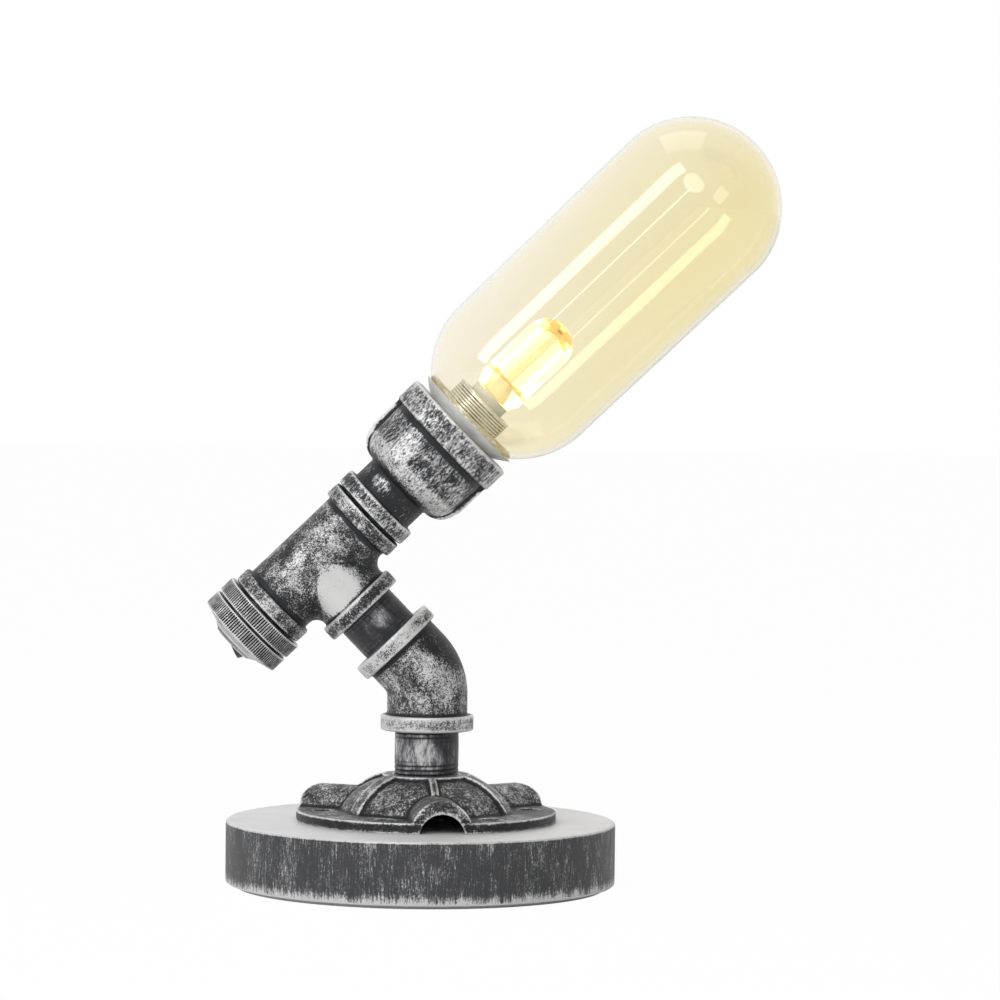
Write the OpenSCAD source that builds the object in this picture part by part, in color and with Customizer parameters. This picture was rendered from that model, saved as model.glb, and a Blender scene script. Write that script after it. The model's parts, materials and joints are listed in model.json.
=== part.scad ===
// Table lamp made of pipe fittings: a round base, a floor flange, a 45 degree elbow, a tee, and a
// reducing cup that carries a glass capsule over a small two-pin lamp. The free end of the tee holds
// a knurled cap with a round rocker switch. Millimetres, +Z up, the origin under the middle of the
// base, and the shade leans towards +X.

/* [Base] */
// Diameter of the round base
base_d = 150; // [130:1:180]
// Height of the base disc above its pad
base_h = 24; // [20:0.5:30]
// Rounding of the base disc's edges
base_edge = 1.2; // [0.4:0.1:3]
// Thickness of the felt pad under the base
pad_t = 1.4; // [1:0.1:3]
// How far the pad stops short of the base's side
pad_inset = 4; // [2:0.5:10]
// Diameter of the wiring pocket under the base
pocket_d = 64; // [60:1:66]
// Depth of the wiring pocket
pocket_h = 12; // [11:0.5:14]
// Diameter of the wire hole through the middle of the base
wire_hole_d = 14; // [12:0.5:18]
// How far the pipe stands to the right of the base's middle
mast_shift = 2; // [0:0.2:4]
// Bore of the rubber bush that the supply lead goes in by
inlet_bore_d = 7; // [5:0.5:7.5]
// Outer diameter of that bush
inlet_bush_d = 9; // [8.5:0.25:10]

/* [Flange] */
// Diameter of the flange plate
flange_d = 100; // [94:1:110]
// Thickness of the flange plate
flange_t = 4; // [3:0.5:6]
// Height of the dome above the plate
dome_h = 14; // [12:0.5:17]
// Width of the plate's flat rim around the dome
flange_rim_w = 15; // [13:0.5:17]
// Diameter of the flat on top of the dome
dome_top_d = 34; // [31:1:38]
// Radius of the dome's curved side
dome_arc_r = 27; // [25:1:45]
// How far the ribs stand proud of the panels between them
rib_proud = 1.5; // [0.8:0.1:2.5]
// Width of the broad ribs
broad_rib_w = 5.5; // [4:0.25:8]
// Width of the narrow ribs above the arches
slim_rib_w = 2.8; // [2:0.2:4]
// Outer width of a lead arch
arch_w = 23.6; // [20:0.2:26]
// Outer height of a lead arch
arch_h = 12.2; // [12:0.1:14]
// Width of an arch's opening
arch_open_w = 17.4; // [12:0.2:18]
// Height of an arch's opening
arch_open_h = 7.4; // [6:0.1:8.2]
// Rounding of the arches' outer ends
arch_round = 6; // [2:0.5:9]
// How far the flange is turned from straight ahead
flange_turn = 8.5; // [0:0.5:12]
// Distance of the screw holes' middles from the flange's edge
screw_edge_w = 10; // [8:0.5:11]
// Diameter of a countersunk screw head
screw_head_d = 7.5; // [6:0.25:8]
// Length of a flange screw
screw_len = 14; // [10:0.5:16]

/* [Pipe and elbow] */
// Outer diameter of the pipe nipples
pipe_d = 24.6; // [22:0.2:26]
// Wall of the pipe nipples
pipe_wall = 3; // [2:0.25:3.5]
// How far each pipe thread goes into its fitting
thread_grip = 12; // [10:0.5:13]
// Pitch of the pipe thread
thread_pitch = 1.8; // [1.2:0.1:2.3]
// Depth of the thread lines
thread_depth = 0.5; // [0.2:0.1:0.8]
// Bare pipe between flange and elbow
lower_reach = 17; // [12:0.5:30]
// Bare pipe between elbow and tee
upper_reach = 13.8; // [12:0.2:30]
// Angle of the elbow, a nominal 45 degrees that is screwed up a little short
bend = 44.2; // [35:0.2:55]
// Distance from the elbow's corner to each of its faces
elbow_reach = 20.8; // [20:0.2:26]
// Outer diameter of the elbow's body
elbow_d = 31; // [29:0.5:32]
// Radius of the elbow's bend along its middle
elbow_bend_r = 18; // [16.5:0.5:19]
// Outer diameter of the elbow's end beads
elbow_bead_d = 35.8; // [34:0.2:38]
// Width of the elbow's end beads
elbow_bead_w = 6; // [4:0.5:7]

/* [Tee] */
// Outer diameter of the tee's body
tee_d = 29.5; // [28.5:0.25:31]
// Outer diameter of the tee's end beads
tee_bead_d = 33.4; // [32:0.2:36]
// Width of the tee's end beads
tee_bead_w = 6; // [4:0.5:6.5]
// Distance from the tee's middle to its face at the shade
tee_up = 26.4; // [26:0.2:32]
// Distance from the tee's middle to its face at the switch
tee_down = 27.5; // [26:0.5:32]
// Distance from the tee's middle to its branch face
tee_branch = 26.2; // [26:0.2:32]
// Radius of the blend between run and branch
tee_fillet_r = 5; // [3:0.5:5]
// Bore of the fittings between their threads
fitting_bore_d = 20; // [19:0.5:21]

/* [Cup] */
// Gap between the tee's face and the cup's lower bead
cup_gap = 0.7; // [0.4:0.1:0.9]
// Diameter of the cup's lower bead
cup_bead_d = 33.7; // [32:0.1:36]
// Width of the cup's lower bead
cup_bead_w = 6.3; // [5:0.1:8]
// Diameter of the cup's neck
neck_d = 28.1; // [27.4:0.1:30]
// Length of the cup's neck
neck_len = 9; // [6:0.5:14]
// Height of the rounded shoulder
shoulder_h = 8.8; // [7:0.2:12]
// Diameter of the bell above the shoulder
bell_low_d = 43; // [42:0.5:45]
// Diameter of the bell under the rim
bell_high_d = 44.2; // [42.5:0.2:47]
// Height of the bell from shoulder to rim
bell_h = 14.4; // [12:0.2:24]
// Diameter of the rim
rim_d = 49.1; // [48:0.1:54]
// Height of the rim
rim_h = 9.9; // [7:0.1:14]
// Inner diameter of the bell
bell_bore_d = 37; // [36:0.5:38]
// How far the two casting ribs stand proud of the bell
bell_rib_proud = 1.7; // [0.8:0.1:2]
// Width of the casting ribs
bell_rib_w = 3.2; // [2:0.1:5]

/* [Lamp holder] */
// Thickness of the plate in the mouth of the cup
plate_t = 2; // [1.5:0.25:3]
// Width of the ledge that the plate lies on
plate_ledge = 1.4; // [1:0.1:2]
// Outer diameter of the threaded holder sleeve
sleeve_d = 25.3; // [24.6:0.1:26]
// Wall of the holder sleeve
sleeve_wall = 1.6; // [1.2:0.1:2]
// Height of the holder sleeve above the rim
sleeve_out = 13.2; // [11:0.2:15]
// Length of the holder sleeve below the rim
sleeve_in = 11; // [10:0.5:14]
// Pitch of the sleeve's fine thread
sleeve_pitch = 1.1; // [0.8:0.1:1.5]
// Depth of the sleeve's thread lines
sleeve_groove = 0.3; // [0.1:0.05:0.5]
// Distance between the two lamp pins
pin_pitch = 9; // [8:0.25:10]
// Diameter of a lamp pin
pin_d = 1.1; // [0.9:0.1:1.2]
// Length of a lamp pin below the lamp's base
pin_len = 11.4; // [10:0.2:12]

/* [Shade] */
// Thickness of the spun seat under the glass
seat_t = 0.8; // [0.6:0.1:1.2]
// Height of the seat's upturned edge
seat_h = 4.2; // [3.5:0.1:6]
// Thickness of the glass
glass_t = 1.8; // [1.2:0.1:2.5]
// Diameter of the glass near its lower end
glass_low_d = 68; // [64:0.2:70]
// Diameter of the glass near its top
glass_high_d = 69.6; // [66:0.2:72]
// How much flatter the lower end is rounded than half its diameter
glass_low_flat = 1.2; // [0.6:0.1:2.4]
// Diameter of the flat that the glass stands on
glass_foot_d = 33.3; // [31:0.1:36]
// Height of the straight side of the glass
glass_side_h = 91.5; // [60:0.5:130]
// Radius of the glass's upper corner
glass_corner_r = 30; // [24:0.5:32]
// Height of the glass above its straight side
glass_crown_h = 33.7; // [32.5:0.1:36]
// Diameter of the ring nut that holds the glass
ring_d = 30; // [29:0.5:32]
// Thickness of that ring nut
ring_t = 2.2; // [1.8:0.1:2.8]

/* [Bulb] */
// Diameter of the bulb's ceramic base
bulb_base_d = 16; // [14:0.5:18]
// Height of the bulb's ceramic base
bulb_base_h = 5.6; // [4.8:0.1:7]
// Diameter of the bulb's glass
bulb_d = 20; // [19.4:0.2:20.8]
// Height of the bulb's glass
bulb_h = 38.6; // [37:0.2:44]
// Thickness of the bulb's glass
bulb_wall = 0.8; // [0.6:0.1:0.9]
// Diameter of a filament stick
filament_d = 2; // [1.6:0.1:2.2]
// Length of a filament stick
filament_len = 22; // [18:0.5:22]
// Distance of the filament sticks from the bulb's axis
filament_circle_r = 7.2; // [6.4:0.1:7.3]

/* [Switch cap] */
// Gap between the tee's face and the knurled cap
cap_gap = 0.8; // [0.5:0.1:0.9]
// Diameter of the knurled bands
knurl_d = 36.6; // [35.5:0.1:40]
// Depth of the knurling
knurl_depth = 0.5; // [0.2:0.05:0.8]
// Width of each knurled band
knurl_w = 6.3; // [5.5:0.1:8]
// Width of the groove between the bands
groove_w = 1; // [0.6:0.1:2]
// Depth of the groove between the bands
groove_depth = 1.3; // [0.6:0.1:2]
// Height of the shallow cone at the cap's end
cap_cone_h = 2.1; // [1.4:0.1:3]
// Diameter of the switch bezel
bezel_d = 21.6; // [20.5:0.2:23]
// Height of the switch bezel
bezel_h = 2; // [1.4:0.1:2.4]
// Diameter of the round rocker
rocker_d = 14; // [12:0.2:14.2]
// Diameter of the rocker's axle
axle_d = 1.6; // [1.2:0.1:2]
// How far the rocker rests from level
rocker_tilt = 9; // [6:0.5:10]
// Diameter of the switch housing
switch_d = 17.2; // [16.6:0.2:17.4]

/* [Hidden] */

$fn = 64;

// Overrun of every cut past the face that it leaves
overrun = 1;
// Radial clearance of pipe threads, pins and sliding fits
fit = 0.05;
// Radial clearance of curved faces that move past each other freely
free_gap = 0.3;
// Diameter of an insulated lead
lead_d = 2;
// Distance of each lead from the pipe's axis
lead_offset = 1.7;
// Size of a lead's corners as a share of its diameter
corner_share = 1.04;

// How far the elbow's straight ends reach into its bend, and how much slimmer they are
bend_lap = 0.4;
bend_step = 0.02;

// Levels from the table up
base_top = pad_t + base_h;
pocket_top = pad_t + pocket_h;
flange_top = base_top + flange_t + dome_h;
elbow_z = flange_top + lower_reach + elbow_reach;
nipple_seat = flange_top - thread_grip;

// The tee's place, and the tilt of the head's axis from upright
tee_distance = elbow_reach + upper_reach + tee_branch;
tee_x = mast_shift - tee_distance * sin(bend);
tee_z = elbow_z + tee_distance * cos(bend);
head_tilt = 90 - bend;

// Levels along the head's axis, from the tee's middle towards the shade
cup_start = tee_up + cup_gap;
neck_start = cup_start + cup_bead_w;
shoulder_start = neck_start + neck_len;
bell_start = shoulder_start + shoulder_h;
rim_start = bell_start + bell_h;
rim_top = rim_start + rim_h;
glass_bottom = rim_top + seat_t + free_gap;
glass_low_r = glass_low_d / 2 + glass_low_flat;
glass_low_h = sqrt(glass_low_r ^ 2 - (glass_foot_d / 2 + glass_low_flat) ^ 2);
glass_low_c = glass_bottom + glass_low_h;
glass_high_c = glass_low_c + glass_side_h;
glass_top = glass_high_c + glass_crown_h;
sleeve_top = rim_top + sleeve_out;
sleeve_bottom = rim_top - sleeve_in;

// Levels along the head's axis, from the tee's middle towards the switch
cap_start = tee_down + cap_gap;
band_end = cap_start + knurl_w;
band_two_start = band_end + groove_w;
cap_cone_start = band_two_start + knurl_w;
cap_end = cap_cone_start + cap_cone_h;
bezel_end = cap_end + bezel_h;

// Pipe radii
pipe_r = pipe_d / 2;
pipe_bore_r = pipe_r - pipe_wall;
fitting_bore_r = fitting_bore_d / 2;
thread_bore_r = pipe_r + fit;

// Castings
bead_edge_share = 0.125;
rim_edge_share = 0.08;
blend_sink_share = 0.02;
blend_bite_share = 0.04;

// Flange
arch_count = 3;
broad_rib_share = 0.5;
lobe_cavity_r = fitting_bore_r;
screw_shank_d = screw_head_d / 2;
screw_cone_h = (screw_head_d - screw_shank_d) / 2;
screw_sink = 0.6;
screw_fit = 0.1;
slot_w = 1;
dome_foot_r = flange_d / 2 - flange_rim_w;
screw_circle_r = flange_d / 2 - screw_edge_w;
dome_top_r = dome_top_d / 2;
dome_chord = norm([dome_foot_r - dome_top_r, dome_h]);
dome_depth = sqrt(dome_arc_r ^ 2 - (dome_chord / 2) ^ 2);
dome_arc_c = [
    (dome_foot_r + dome_top_r) / 2 - dome_depth * dome_h / dome_chord,
    dome_h / 2 - dome_depth * (dome_foot_r - dome_top_r) / dome_chord,
];

// Inlet and terminal block
inlet_z = pad_t + pocket_h / 2;
inlet_rim_w = 1.5;
inlet_rim_t = 1.5;
inlet_sink = 0.8;
inlet_len = 9;
block_size = [12, 22, 8.5];
block_x = -20;
block_screw_d = 4;
block_screw_h = 0.8;

// Lamp holder
locknut_h = 4;
locknut_d = 33;
ceramic_drop = 2.2;
ceramic_top = sleeve_top - ceramic_drop;
ceramic_len = 21;
ceramic_bottom = ceramic_top - ceramic_len;
contact_size = [0.8, 2.4, 10];
contact_tab = 2;
pin_hole_r = pin_d / 2 + free_gap;
bulb_start = ceramic_top + free_gap;
bulb_glass_start = bulb_start + bulb_base_h;
bulb_taper_h = 4;
bulb_r = bulb_d / 2;
bulb_top = bulb_glass_start + bulb_h;

// Inside the bulb
stem_d = 6;
stem_h = 8.5;
clip_t = 0.8;
clip_arm_w = 1.6;
rod_d = 1.4;
filament_count = 4;
filament_start = bulb_glass_start + stem_h + clip_t;
filament_end = filament_start + filament_len;

// Switch
axle_rise = 0.1;
axle_w = cap_end + axle_rise;
rocker_r = rocker_d / 2;
rocker_hole_r = rocker_r + free_gap;
rocker_edge_h = 3.4;
rocker_dip_h = 1.9;
rocker_root = 3.6;
axle_seat = 0.9;
switch_skirt_h = 6;
switch_body_h = 12;
switch_well_h = 2.4;
terminal_size = [3, 0.8, 6.5];
terminal_pitch = 6.4;
knurl_teeth = 110;
cap_wall = 1.4;
bezel_lip_w = 0.5;

// A full turn of the square between two radii and two heights
module ring(outer_r, inner_r, low, high) {
    rotate_extrude() translate([inner_r, low]) square([outer_r - inner_r, high - low]);
}

// A disc with both edges rounded
module round_disc(r, low, high, edge) {
    rotate_extrude() {
        translate([0, low]) square([r - edge, high - low]);
        translate([0, low + edge]) square([r, high - low - 2 * edge]);
        for (y = [low + edge, high - edge]) translate([r - edge, y]) circle(edge);
    }
}

// A bead with slightly rounded corners, as cast fittings have
module bead(r, low, high) {
    round_disc(r, low, high, (high - low) * bead_edge_share);
}

// V-shaped thread lines around a pipe, to cut from it
module thread_lines(r, start, step, count, depth) {
    for (i = [0 : count - 1]) {
        rotate_extrude()
            polygon([
                [r - depth, start + i * step],
                [r + depth, start + i * step - depth * 2],
                [r + depth, start + i * step + depth * 2],
            ]);
    }
}

// A piece of pipe with thread lines next to each end of its bare stretch
module nipple(length, bare_start, bare_len) {
    lines = 3;
    difference() {
        cylinder(r = pipe_r, h = length);
        translate([0, 0, -overrun]) cylinder(r = pipe_bore_r, h = length + 2 * overrun);
        if (bare_len > 0) {
            thread_lines(pipe_r, bare_start + thread_pitch / 2, thread_pitch, lines, thread_depth);
            thread_lines(pipe_r, bare_start + bare_len - thread_pitch / 2, -thread_pitch, lines,
                thread_depth);
        }
    }
}

// A straight round bar between two points
module rod(from, to, r) {
    way = to - from;
    translate(from)
        rotate([0, acos(way[2] / norm(way)), atan2(way[1], way[0])])
            cylinder(r = r, h = norm(way), $fn = 24);
}

// An insulated lead along straight runs with rounded corners
module lead(points) {
    last = len(points) - 1;
    for (i = [0 : last - 1]) rod(points[i], points[i + 1], lead_d / 2);
    for (i = [1 : 1 : last - 1]) translate(points[i]) sphere(lead_d / 2 * corner_share, $fn = 24);
}

// Places
module at_mast() {
    translate([mast_shift, 0, 0]) children();
}

module at_branch() {
    translate([mast_shift, 0, elbow_z]) rotate([0, -bend, 0]) children();
}

module at_head() {
    translate([tee_x, 0, tee_z]) rotate([0, head_tilt, 0]) children();
}

module at_cap() {
    at_head() rotate([180, 0, 0]) children();
}

// Base

module screw_holes() {
    at_mast() rotate([0, 0, -90 + flange_turn])
        for (i = [0 : 2 * arch_count - 1])
            rotate([0, 0, (i + 0.5) * 180 / arch_count])
                translate([screw_circle_r, 0, 0]) children();
}

module base_disc() {
    color("dimgray") difference() {
        round_disc(base_d / 2, pad_t, base_top, base_edge);
        translate([0, 0, pad_t - overrun]) cylinder(d = pocket_d, h = pocket_h + overrun);
        at_mast() translate([0, 0, pocket_top - overrun])
            cylinder(d = wire_hole_d, h = base_top - pocket_top + 2 * overrun);
        translate([0, 0, inlet_z]) rotate([-90, 0, 0]) {
            cylinder(d = inlet_bush_d, h = base_d);
            translate([0, 0, base_d / 2 - inlet_sink - inlet_rim_t])
                cylinder(d = inlet_bush_d + 2 * inlet_rim_w, h = base_d);
        }
        screw_holes()
            translate([0, 0, base_top + flange_t - screw_sink - screw_len - screw_fit])
                cylinder(d = screw_shank_d + 2 * screw_fit, h = screw_len);
    }
}

module base_pad() {
    color("black") cylinder(r = base_d / 2 - pad_inset, h = pad_t);
}

module cord_grommet() {
    color("black") translate([0, 0, inlet_z]) rotate([-90, 0, 0]) difference() {
        rim_start_y = base_d / 2 - inlet_sink - inlet_rim_t;
        union() {
            translate([0, 0, rim_start_y + inlet_rim_t - inlet_len])
                cylinder(d = inlet_bush_d, h = inlet_len);
            translate([0, 0, rim_start_y])
                cylinder(d = inlet_bush_d + 2 * inlet_rim_w, h = inlet_rim_t);
        }
        translate([0, 0, base_d / 2 - inlet_sink - inlet_len - overrun])
            cylinder(d = inlet_bore_d, h = inlet_len + 2 * overrun);
    }
}

module terminal_block() {
    color("ivory") difference() {
        translate([block_x - block_size[0] / 2, -block_size[1] / 2, pocket_top - block_size[2]])
            cube(block_size);
        for (side = [-1, 1])
            translate([block_x, side * block_size[1] / 4, pocket_top - block_size[2] - overrun])
                cylinder(d = block_screw_d, h = block_screw_h + overrun);
    }
}

module base_leads() {
    bend_z = pocket_top - block_size[2] / 2;
    color("firebrick")
        for (side = [-1, 1])
            lead([
                [block_x + block_size[0] / 2 + free_gap, side * block_size[1] / 4, bend_z],
                [mast_shift, side * lead_offset, bend_z],
                [mast_shift, side * lead_offset, nipple_seat - free_gap],
            ]);
}

// The solid that the dome's curved side encloses, drawn in by inset
module dome_form(inset) {
    rotate_extrude() intersection() {
        union() {
            square([dome_top_r - inset, dome_h - inset]);
            translate(dome_arc_c) circle(dome_arc_r - inset, $fn = 128);
        }
        square([dome_foot_r, dome_h - inset]);
    }
}

// A tunnel form along +X with a round top
module arch_form(width, height, length) {
    r = width / 2;
    rotate([90, 0, 90]) linear_extrude(length) {
        translate([0, height - r]) circle(r);
        translate([-r, -overrun]) square([width, height - r + overrun]);
    }
}

// The bounds of the arches' outer ends
module arch_bounds() {
    edge_r = flange_d / 2 - free_gap;
    rotate_extrude() {
        square([edge_r - arch_round, arch_h]);
        square([edge_r, arch_h - arch_round]);
        translate([edge_r - arch_round, arch_h - arch_round]) circle(arch_round);
    }
}

module floor_flange() {
    color("darkgray") at_mast() translate([0, 0, base_top]) difference() {
        union() {
            cylinder(d = flange_d, h = flange_t);
            translate([0, 0, flange_t]) {
                dome_form(rib_proud);
                cylinder(r = dome_top_r, h = dome_h);
                intersection() {
                    dome_form(0);
                    rotate([0, 0, -90 + flange_turn]) for (i = [0 : arch_count - 1]) {
                        rotate([0, 0, i * 360 / arch_count])
                            translate([0, -slim_rib_w / 2, 0]) cube([dome_foot_r, slim_rib_w, dome_h]);
                        rotate([0, 0, (i + broad_rib_share) * 360 / arch_count])
                            translate([0, -broad_rib_w / 2, 0])
                                cube([dome_foot_r, broad_rib_w, dome_h]);
                    }
                }
            }
            intersection() {
                arch_bounds();
                rotate([0, 0, -90 + flange_turn]) for (i = [0 : arch_count - 1])
                    rotate([0, 0, i * 360 / arch_count]) arch_form(arch_w, arch_h, flange_d);
            }
        }
        rotate([0, 0, -90 + flange_turn]) for (i = [0 : arch_count - 1])
            rotate([0, 0, i * 360 / arch_count]) arch_form(arch_open_w, arch_open_h, flange_d);
        translate([0, 0, -overrun]) cylinder(r = lobe_cavity_r, h = flange_t + dome_h);
        translate([0, 0, nipple_seat - base_top]) cylinder(r = thread_bore_r, h = dome_h + flange_t);
        rotate([0, 0, -90 + flange_turn]) for (i = [0 : 2 * arch_count - 1])
            rotate([0, 0, (i + 0.5) * 180 / arch_count]) translate([screw_circle_r, 0, 0]) {
                translate([0, 0, -overrun])
                    cylinder(d = screw_shank_d + 2 * screw_fit, h = flange_t + 2 * overrun);
                translate([0, 0, flange_t - screw_sink - screw_cone_h - screw_fit])
                    cylinder(d1 = screw_shank_d + 2 * screw_fit, d2 = screw_head_d + 2 * screw_fit,
                        h = screw_cone_h + screw_fit);
                translate([0, 0, flange_t - screw_sink])
                    cylinder(d = screw_head_d + 2 * screw_fit, h = screw_sink + overrun);
            }
    }
}

module flange_screws() {
    color("black")
        screw_holes() translate([0, 0, base_top + flange_t - screw_sink]) difference() {
            union() {
                translate([0, 0, -screw_cone_h])
                    cylinder(d1 = screw_shank_d, d2 = screw_head_d, h = screw_cone_h);
                translate([0, 0, -screw_len]) cylinder(d = screw_shank_d, h = screw_len);
            }
            for (turn = [0, 90])
                rotate([0, 0, turn])
                    translate([-screw_head_d / 4, -slot_w / 2, -slot_w])
                        cube([screw_head_d / 2, slot_w, slot_w + overrun]);
        }
}

// Pipe and elbow

module lower_nipple() {
    color("slategray") at_mast() translate([0, 0, nipple_seat])
        nipple(2 * thread_grip + lower_reach, thread_grip, lower_reach);
}

module elbow_form(r) {
    straight = elbow_reach - elbow_bend_r * tan(bend / 2) + bend_lap;
    end_r = r - bend_step;
    translate([0, 0, -elbow_reach]) cylinder(r = end_r, h = straight);
    translate([-elbow_bend_r, 0, straight - bend_lap - elbow_reach]) rotate([90, 0, 0])
        rotate_extrude(angle = bend) translate([elbow_bend_r, 0]) circle(r);
    rotate([0, -bend, 0]) translate([0, 0, elbow_reach - straight])
        cylinder(r = end_r, h = straight);
}

module elbow() {
    color("gray") translate([mast_shift, 0, elbow_z]) difference() {
        union() {
            elbow_form(elbow_d / 2);
            bead(elbow_bead_d / 2, -elbow_reach, elbow_bead_w - elbow_reach);
            rotate([0, -bend, 0])
                bead(elbow_bead_d / 2, elbow_reach - elbow_bead_w, elbow_reach);
        }
        elbow_form(pipe_bore_r);
        translate([0, 0, -elbow_reach - overrun])
            cylinder(r = thread_bore_r, h = thread_grip + overrun);
        rotate([0, -bend, 0]) translate([0, 0, elbow_reach - thread_grip])
            cylinder(r = thread_bore_r, h = thread_grip + overrun);
    }
}

module tee_nipple() {
    color("slategray") at_branch() translate([0, 0, elbow_reach - thread_grip])
        nipple(2 * thread_grip + upper_reach - fit, thread_grip, upper_reach);
}

module mast_leads() {
    along = tee_distance - tee_branch + thread_grip;
    color("firebrick")
        for (side = [-1, 1])
            lead([
                [mast_shift, side * lead_offset, nipple_seat],
                [mast_shift, side * lead_offset, elbow_z],
                [mast_shift - along * sin(bend), side * lead_offset, elbow_z + along * cos(bend)],
            ]);
}

// Tee

// The blend in the corner between two crossing cylinders of one radius: a ball rolled along it,
// biting a little into both so that the blend crosses their sides at a clear angle
module corner_blend(r, ball_r) {
    steps = 24;
    arc_steps = 6;
    reach = 86;
    sink = blend_sink_share * r;
    bite = blend_bite_share * ball_r;
    rings = [for (i = [0 : steps]) let (
            a = -reach + 2 * reach * i / steps,
            mid = (r + ball_r - bite) * [cos(a), sin(a), cos(a)],
            one = -ball_r * [cos(a), sin(a), 0],
            two = -ball_r * [0, sin(a), cos(a)],
            open = acos(one * two / norm(one) / norm(two))
        ) concat(
            [mid + one - sink * [cos(a), sin(a), 0]],
            [for (k = [0 : arc_steps])
                mid + (sin(open * (1 - k / arc_steps)) * one + sin(open * k / arc_steps) * two)
                    / sin(open)],
            [mid + two - sink * [0, sin(a), cos(a)]],
            [(r - sink) * [cos(a), sin(a), cos(a)] - sink * [1, 0, 1]]
        )];
    size = arc_steps + 4;
    polyhedron(
        points = [for (one = rings) for (p = one) p],
        faces = concat(
            [[for (k = [0 : size - 1]) k]],
            [[for (k = [size - 1 : -1 : 0]) steps * size + k]],
            [for (i = [0 : steps - 1]) for (k = [0 : size - 1])
                let (n = (k + 1) % size) each [
                    [i * size + n, i * size + k, (i + 1) * size + k],
                    [i * size + n, (i + 1) * size + k, (i + 1) * size + n],
                ]]
        )
    );
}

module tee() {
    color("gray") at_head() difference() {
        union() {
            translate([0, 0, -tee_down]) cylinder(d = tee_d, h = tee_down + tee_up);
            bead(tee_bead_d / 2, -tee_down, tee_bead_w - tee_down);
            bead(tee_bead_d / 2, tee_up - tee_bead_w, tee_up);
            rotate([0, 90, 0]) {
                cylinder(d = tee_d, h = tee_branch);
                bead(tee_bead_d / 2, tee_branch - tee_bead_w, tee_branch);
            }
            for (side = [0, 1]) mirror([0, 0, side]) corner_blend(tee_d / 2, tee_fillet_r);
        }
        translate([0, 0, -tee_down - overrun])
            cylinder(r = fitting_bore_r, h = tee_down + tee_up + 2 * overrun);
        translate([0, 0, -tee_down - overrun])
            cylinder(r = thread_bore_r, h = thread_grip + overrun);
        translate([0, 0, tee_up - thread_grip])
            cylinder(r = thread_bore_r, h = thread_grip + overrun);
        rotate([0, 90, 0]) {
            cylinder(r = fitting_bore_r, h = tee_branch + overrun);
            translate([0, 0, tee_branch - thread_grip])
                cylinder(r = thread_bore_r, h = thread_grip + overrun);
        }
    }
}

// Cup

module close_nipple() {
    color("slategray") at_head() translate([0, 0, tee_up - thread_grip])
        nipple(2 * thread_grip + cup_gap, thread_grip, 0);
}

module reducer_cup() {
    neck_r = neck_d / 2;
    low_r = bell_low_d / 2;
    high_r = bell_high_d / 2;
    rim_edge = rim_h * rim_edge_share;
    color("gray") at_head() difference() {
        union() {
            bead(cup_bead_d / 2, cup_start, neck_start);
            translate([0, 0, cup_start]) cylinder(r = neck_r, h = shoulder_start - cup_start);
            rotate_extrude() {
                translate([0, shoulder_start]) square([low_r - shoulder_h, shoulder_h]);
                intersection() {
                    translate([low_r - shoulder_h, bell_start]) circle(shoulder_h);
                    translate([0, shoulder_start]) square([low_r, shoulder_h]);
                }
            }
            translate([0, 0, bell_start]) cylinder(r1 = low_r, r2 = high_r, h = bell_h);
            round_disc(rim_d / 2, rim_start, rim_top, rim_edge);
            intersection() {
                translate([-high_r - bell_rib_proud, -bell_rib_w / 2, shoulder_start])
                    cube([2 * (high_r + bell_rib_proud), bell_rib_w, rim_start - shoulder_start]);
                rotate_extrude() {
                    translate([0, bell_start]) square([high_r + bell_rib_proud, bell_h]);
                    translate([low_r - shoulder_h + bell_rib_proud, bell_start]) circle(shoulder_h);
                    translate([0, shoulder_start])
                        square([low_r - shoulder_h + bell_rib_proud, shoulder_h]);
                }
            }
        }
        translate([0, 0, cup_start - overrun])
            cylinder(r = fitting_bore_r, h = rim_top - cup_start + 2 * overrun);
        translate([0, 0, cup_start - overrun])
            cylinder(r = thread_bore_r, h = thread_grip + overrun);
        translate([0, 0, bell_start]) cylinder(d = bell_bore_d, h = rim_top - bell_start + overrun);
        translate([0, 0, rim_top - plate_t])
            cylinder(r = bell_bore_d / 2 + plate_ledge, h = plate_t + overrun);
    }
}

// Lamp holder

module holder_plate() {
    color("silver") at_head()
        ring(bell_bore_d / 2 + plate_ledge - fit, sleeve_d / 2 + fit, rim_top - plate_t, rim_top);
}

module sleeve_locknut() {
    color("silver") at_head() translate([0, 0, rim_top - plate_t - locknut_h]) difference() {
        cylinder(d = locknut_d, h = locknut_h, $fn = 6);
        translate([0, 0, -overrun]) cylinder(r = sleeve_d / 2 + fit, h = locknut_h + 2 * overrun);
    }
}

module shade_seat() {
    low = glass_low_r + free_gap;
    c = [glass_low_d / 2 - glass_low_r, glass_low_c];
    color("silver") at_head() difference() {
        rotate_extrude() intersection() {
            difference() {
                translate(c) circle(low + seat_t, $fn = 128);
                translate(c) circle(low, $fn = 128);
                translate([-glass_low_d, rim_top + seat_t])
                    square([glass_low_d, glass_low_r]);
            }
            translate([0, rim_top]) square([glass_low_d / 2, seat_h]);
        }
        translate([0, 0, rim_top - overrun]) cylinder(r = sleeve_d / 2 + fit, h = seat_h);
    }
    color("silver") at_head()
        ring(sqrt(low ^ 2 - (glass_low_c - rim_top - seat_t) ^ 2) + c[0], sleeve_d / 2 + fit,
            rim_top, rim_top + seat_t);
}

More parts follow.
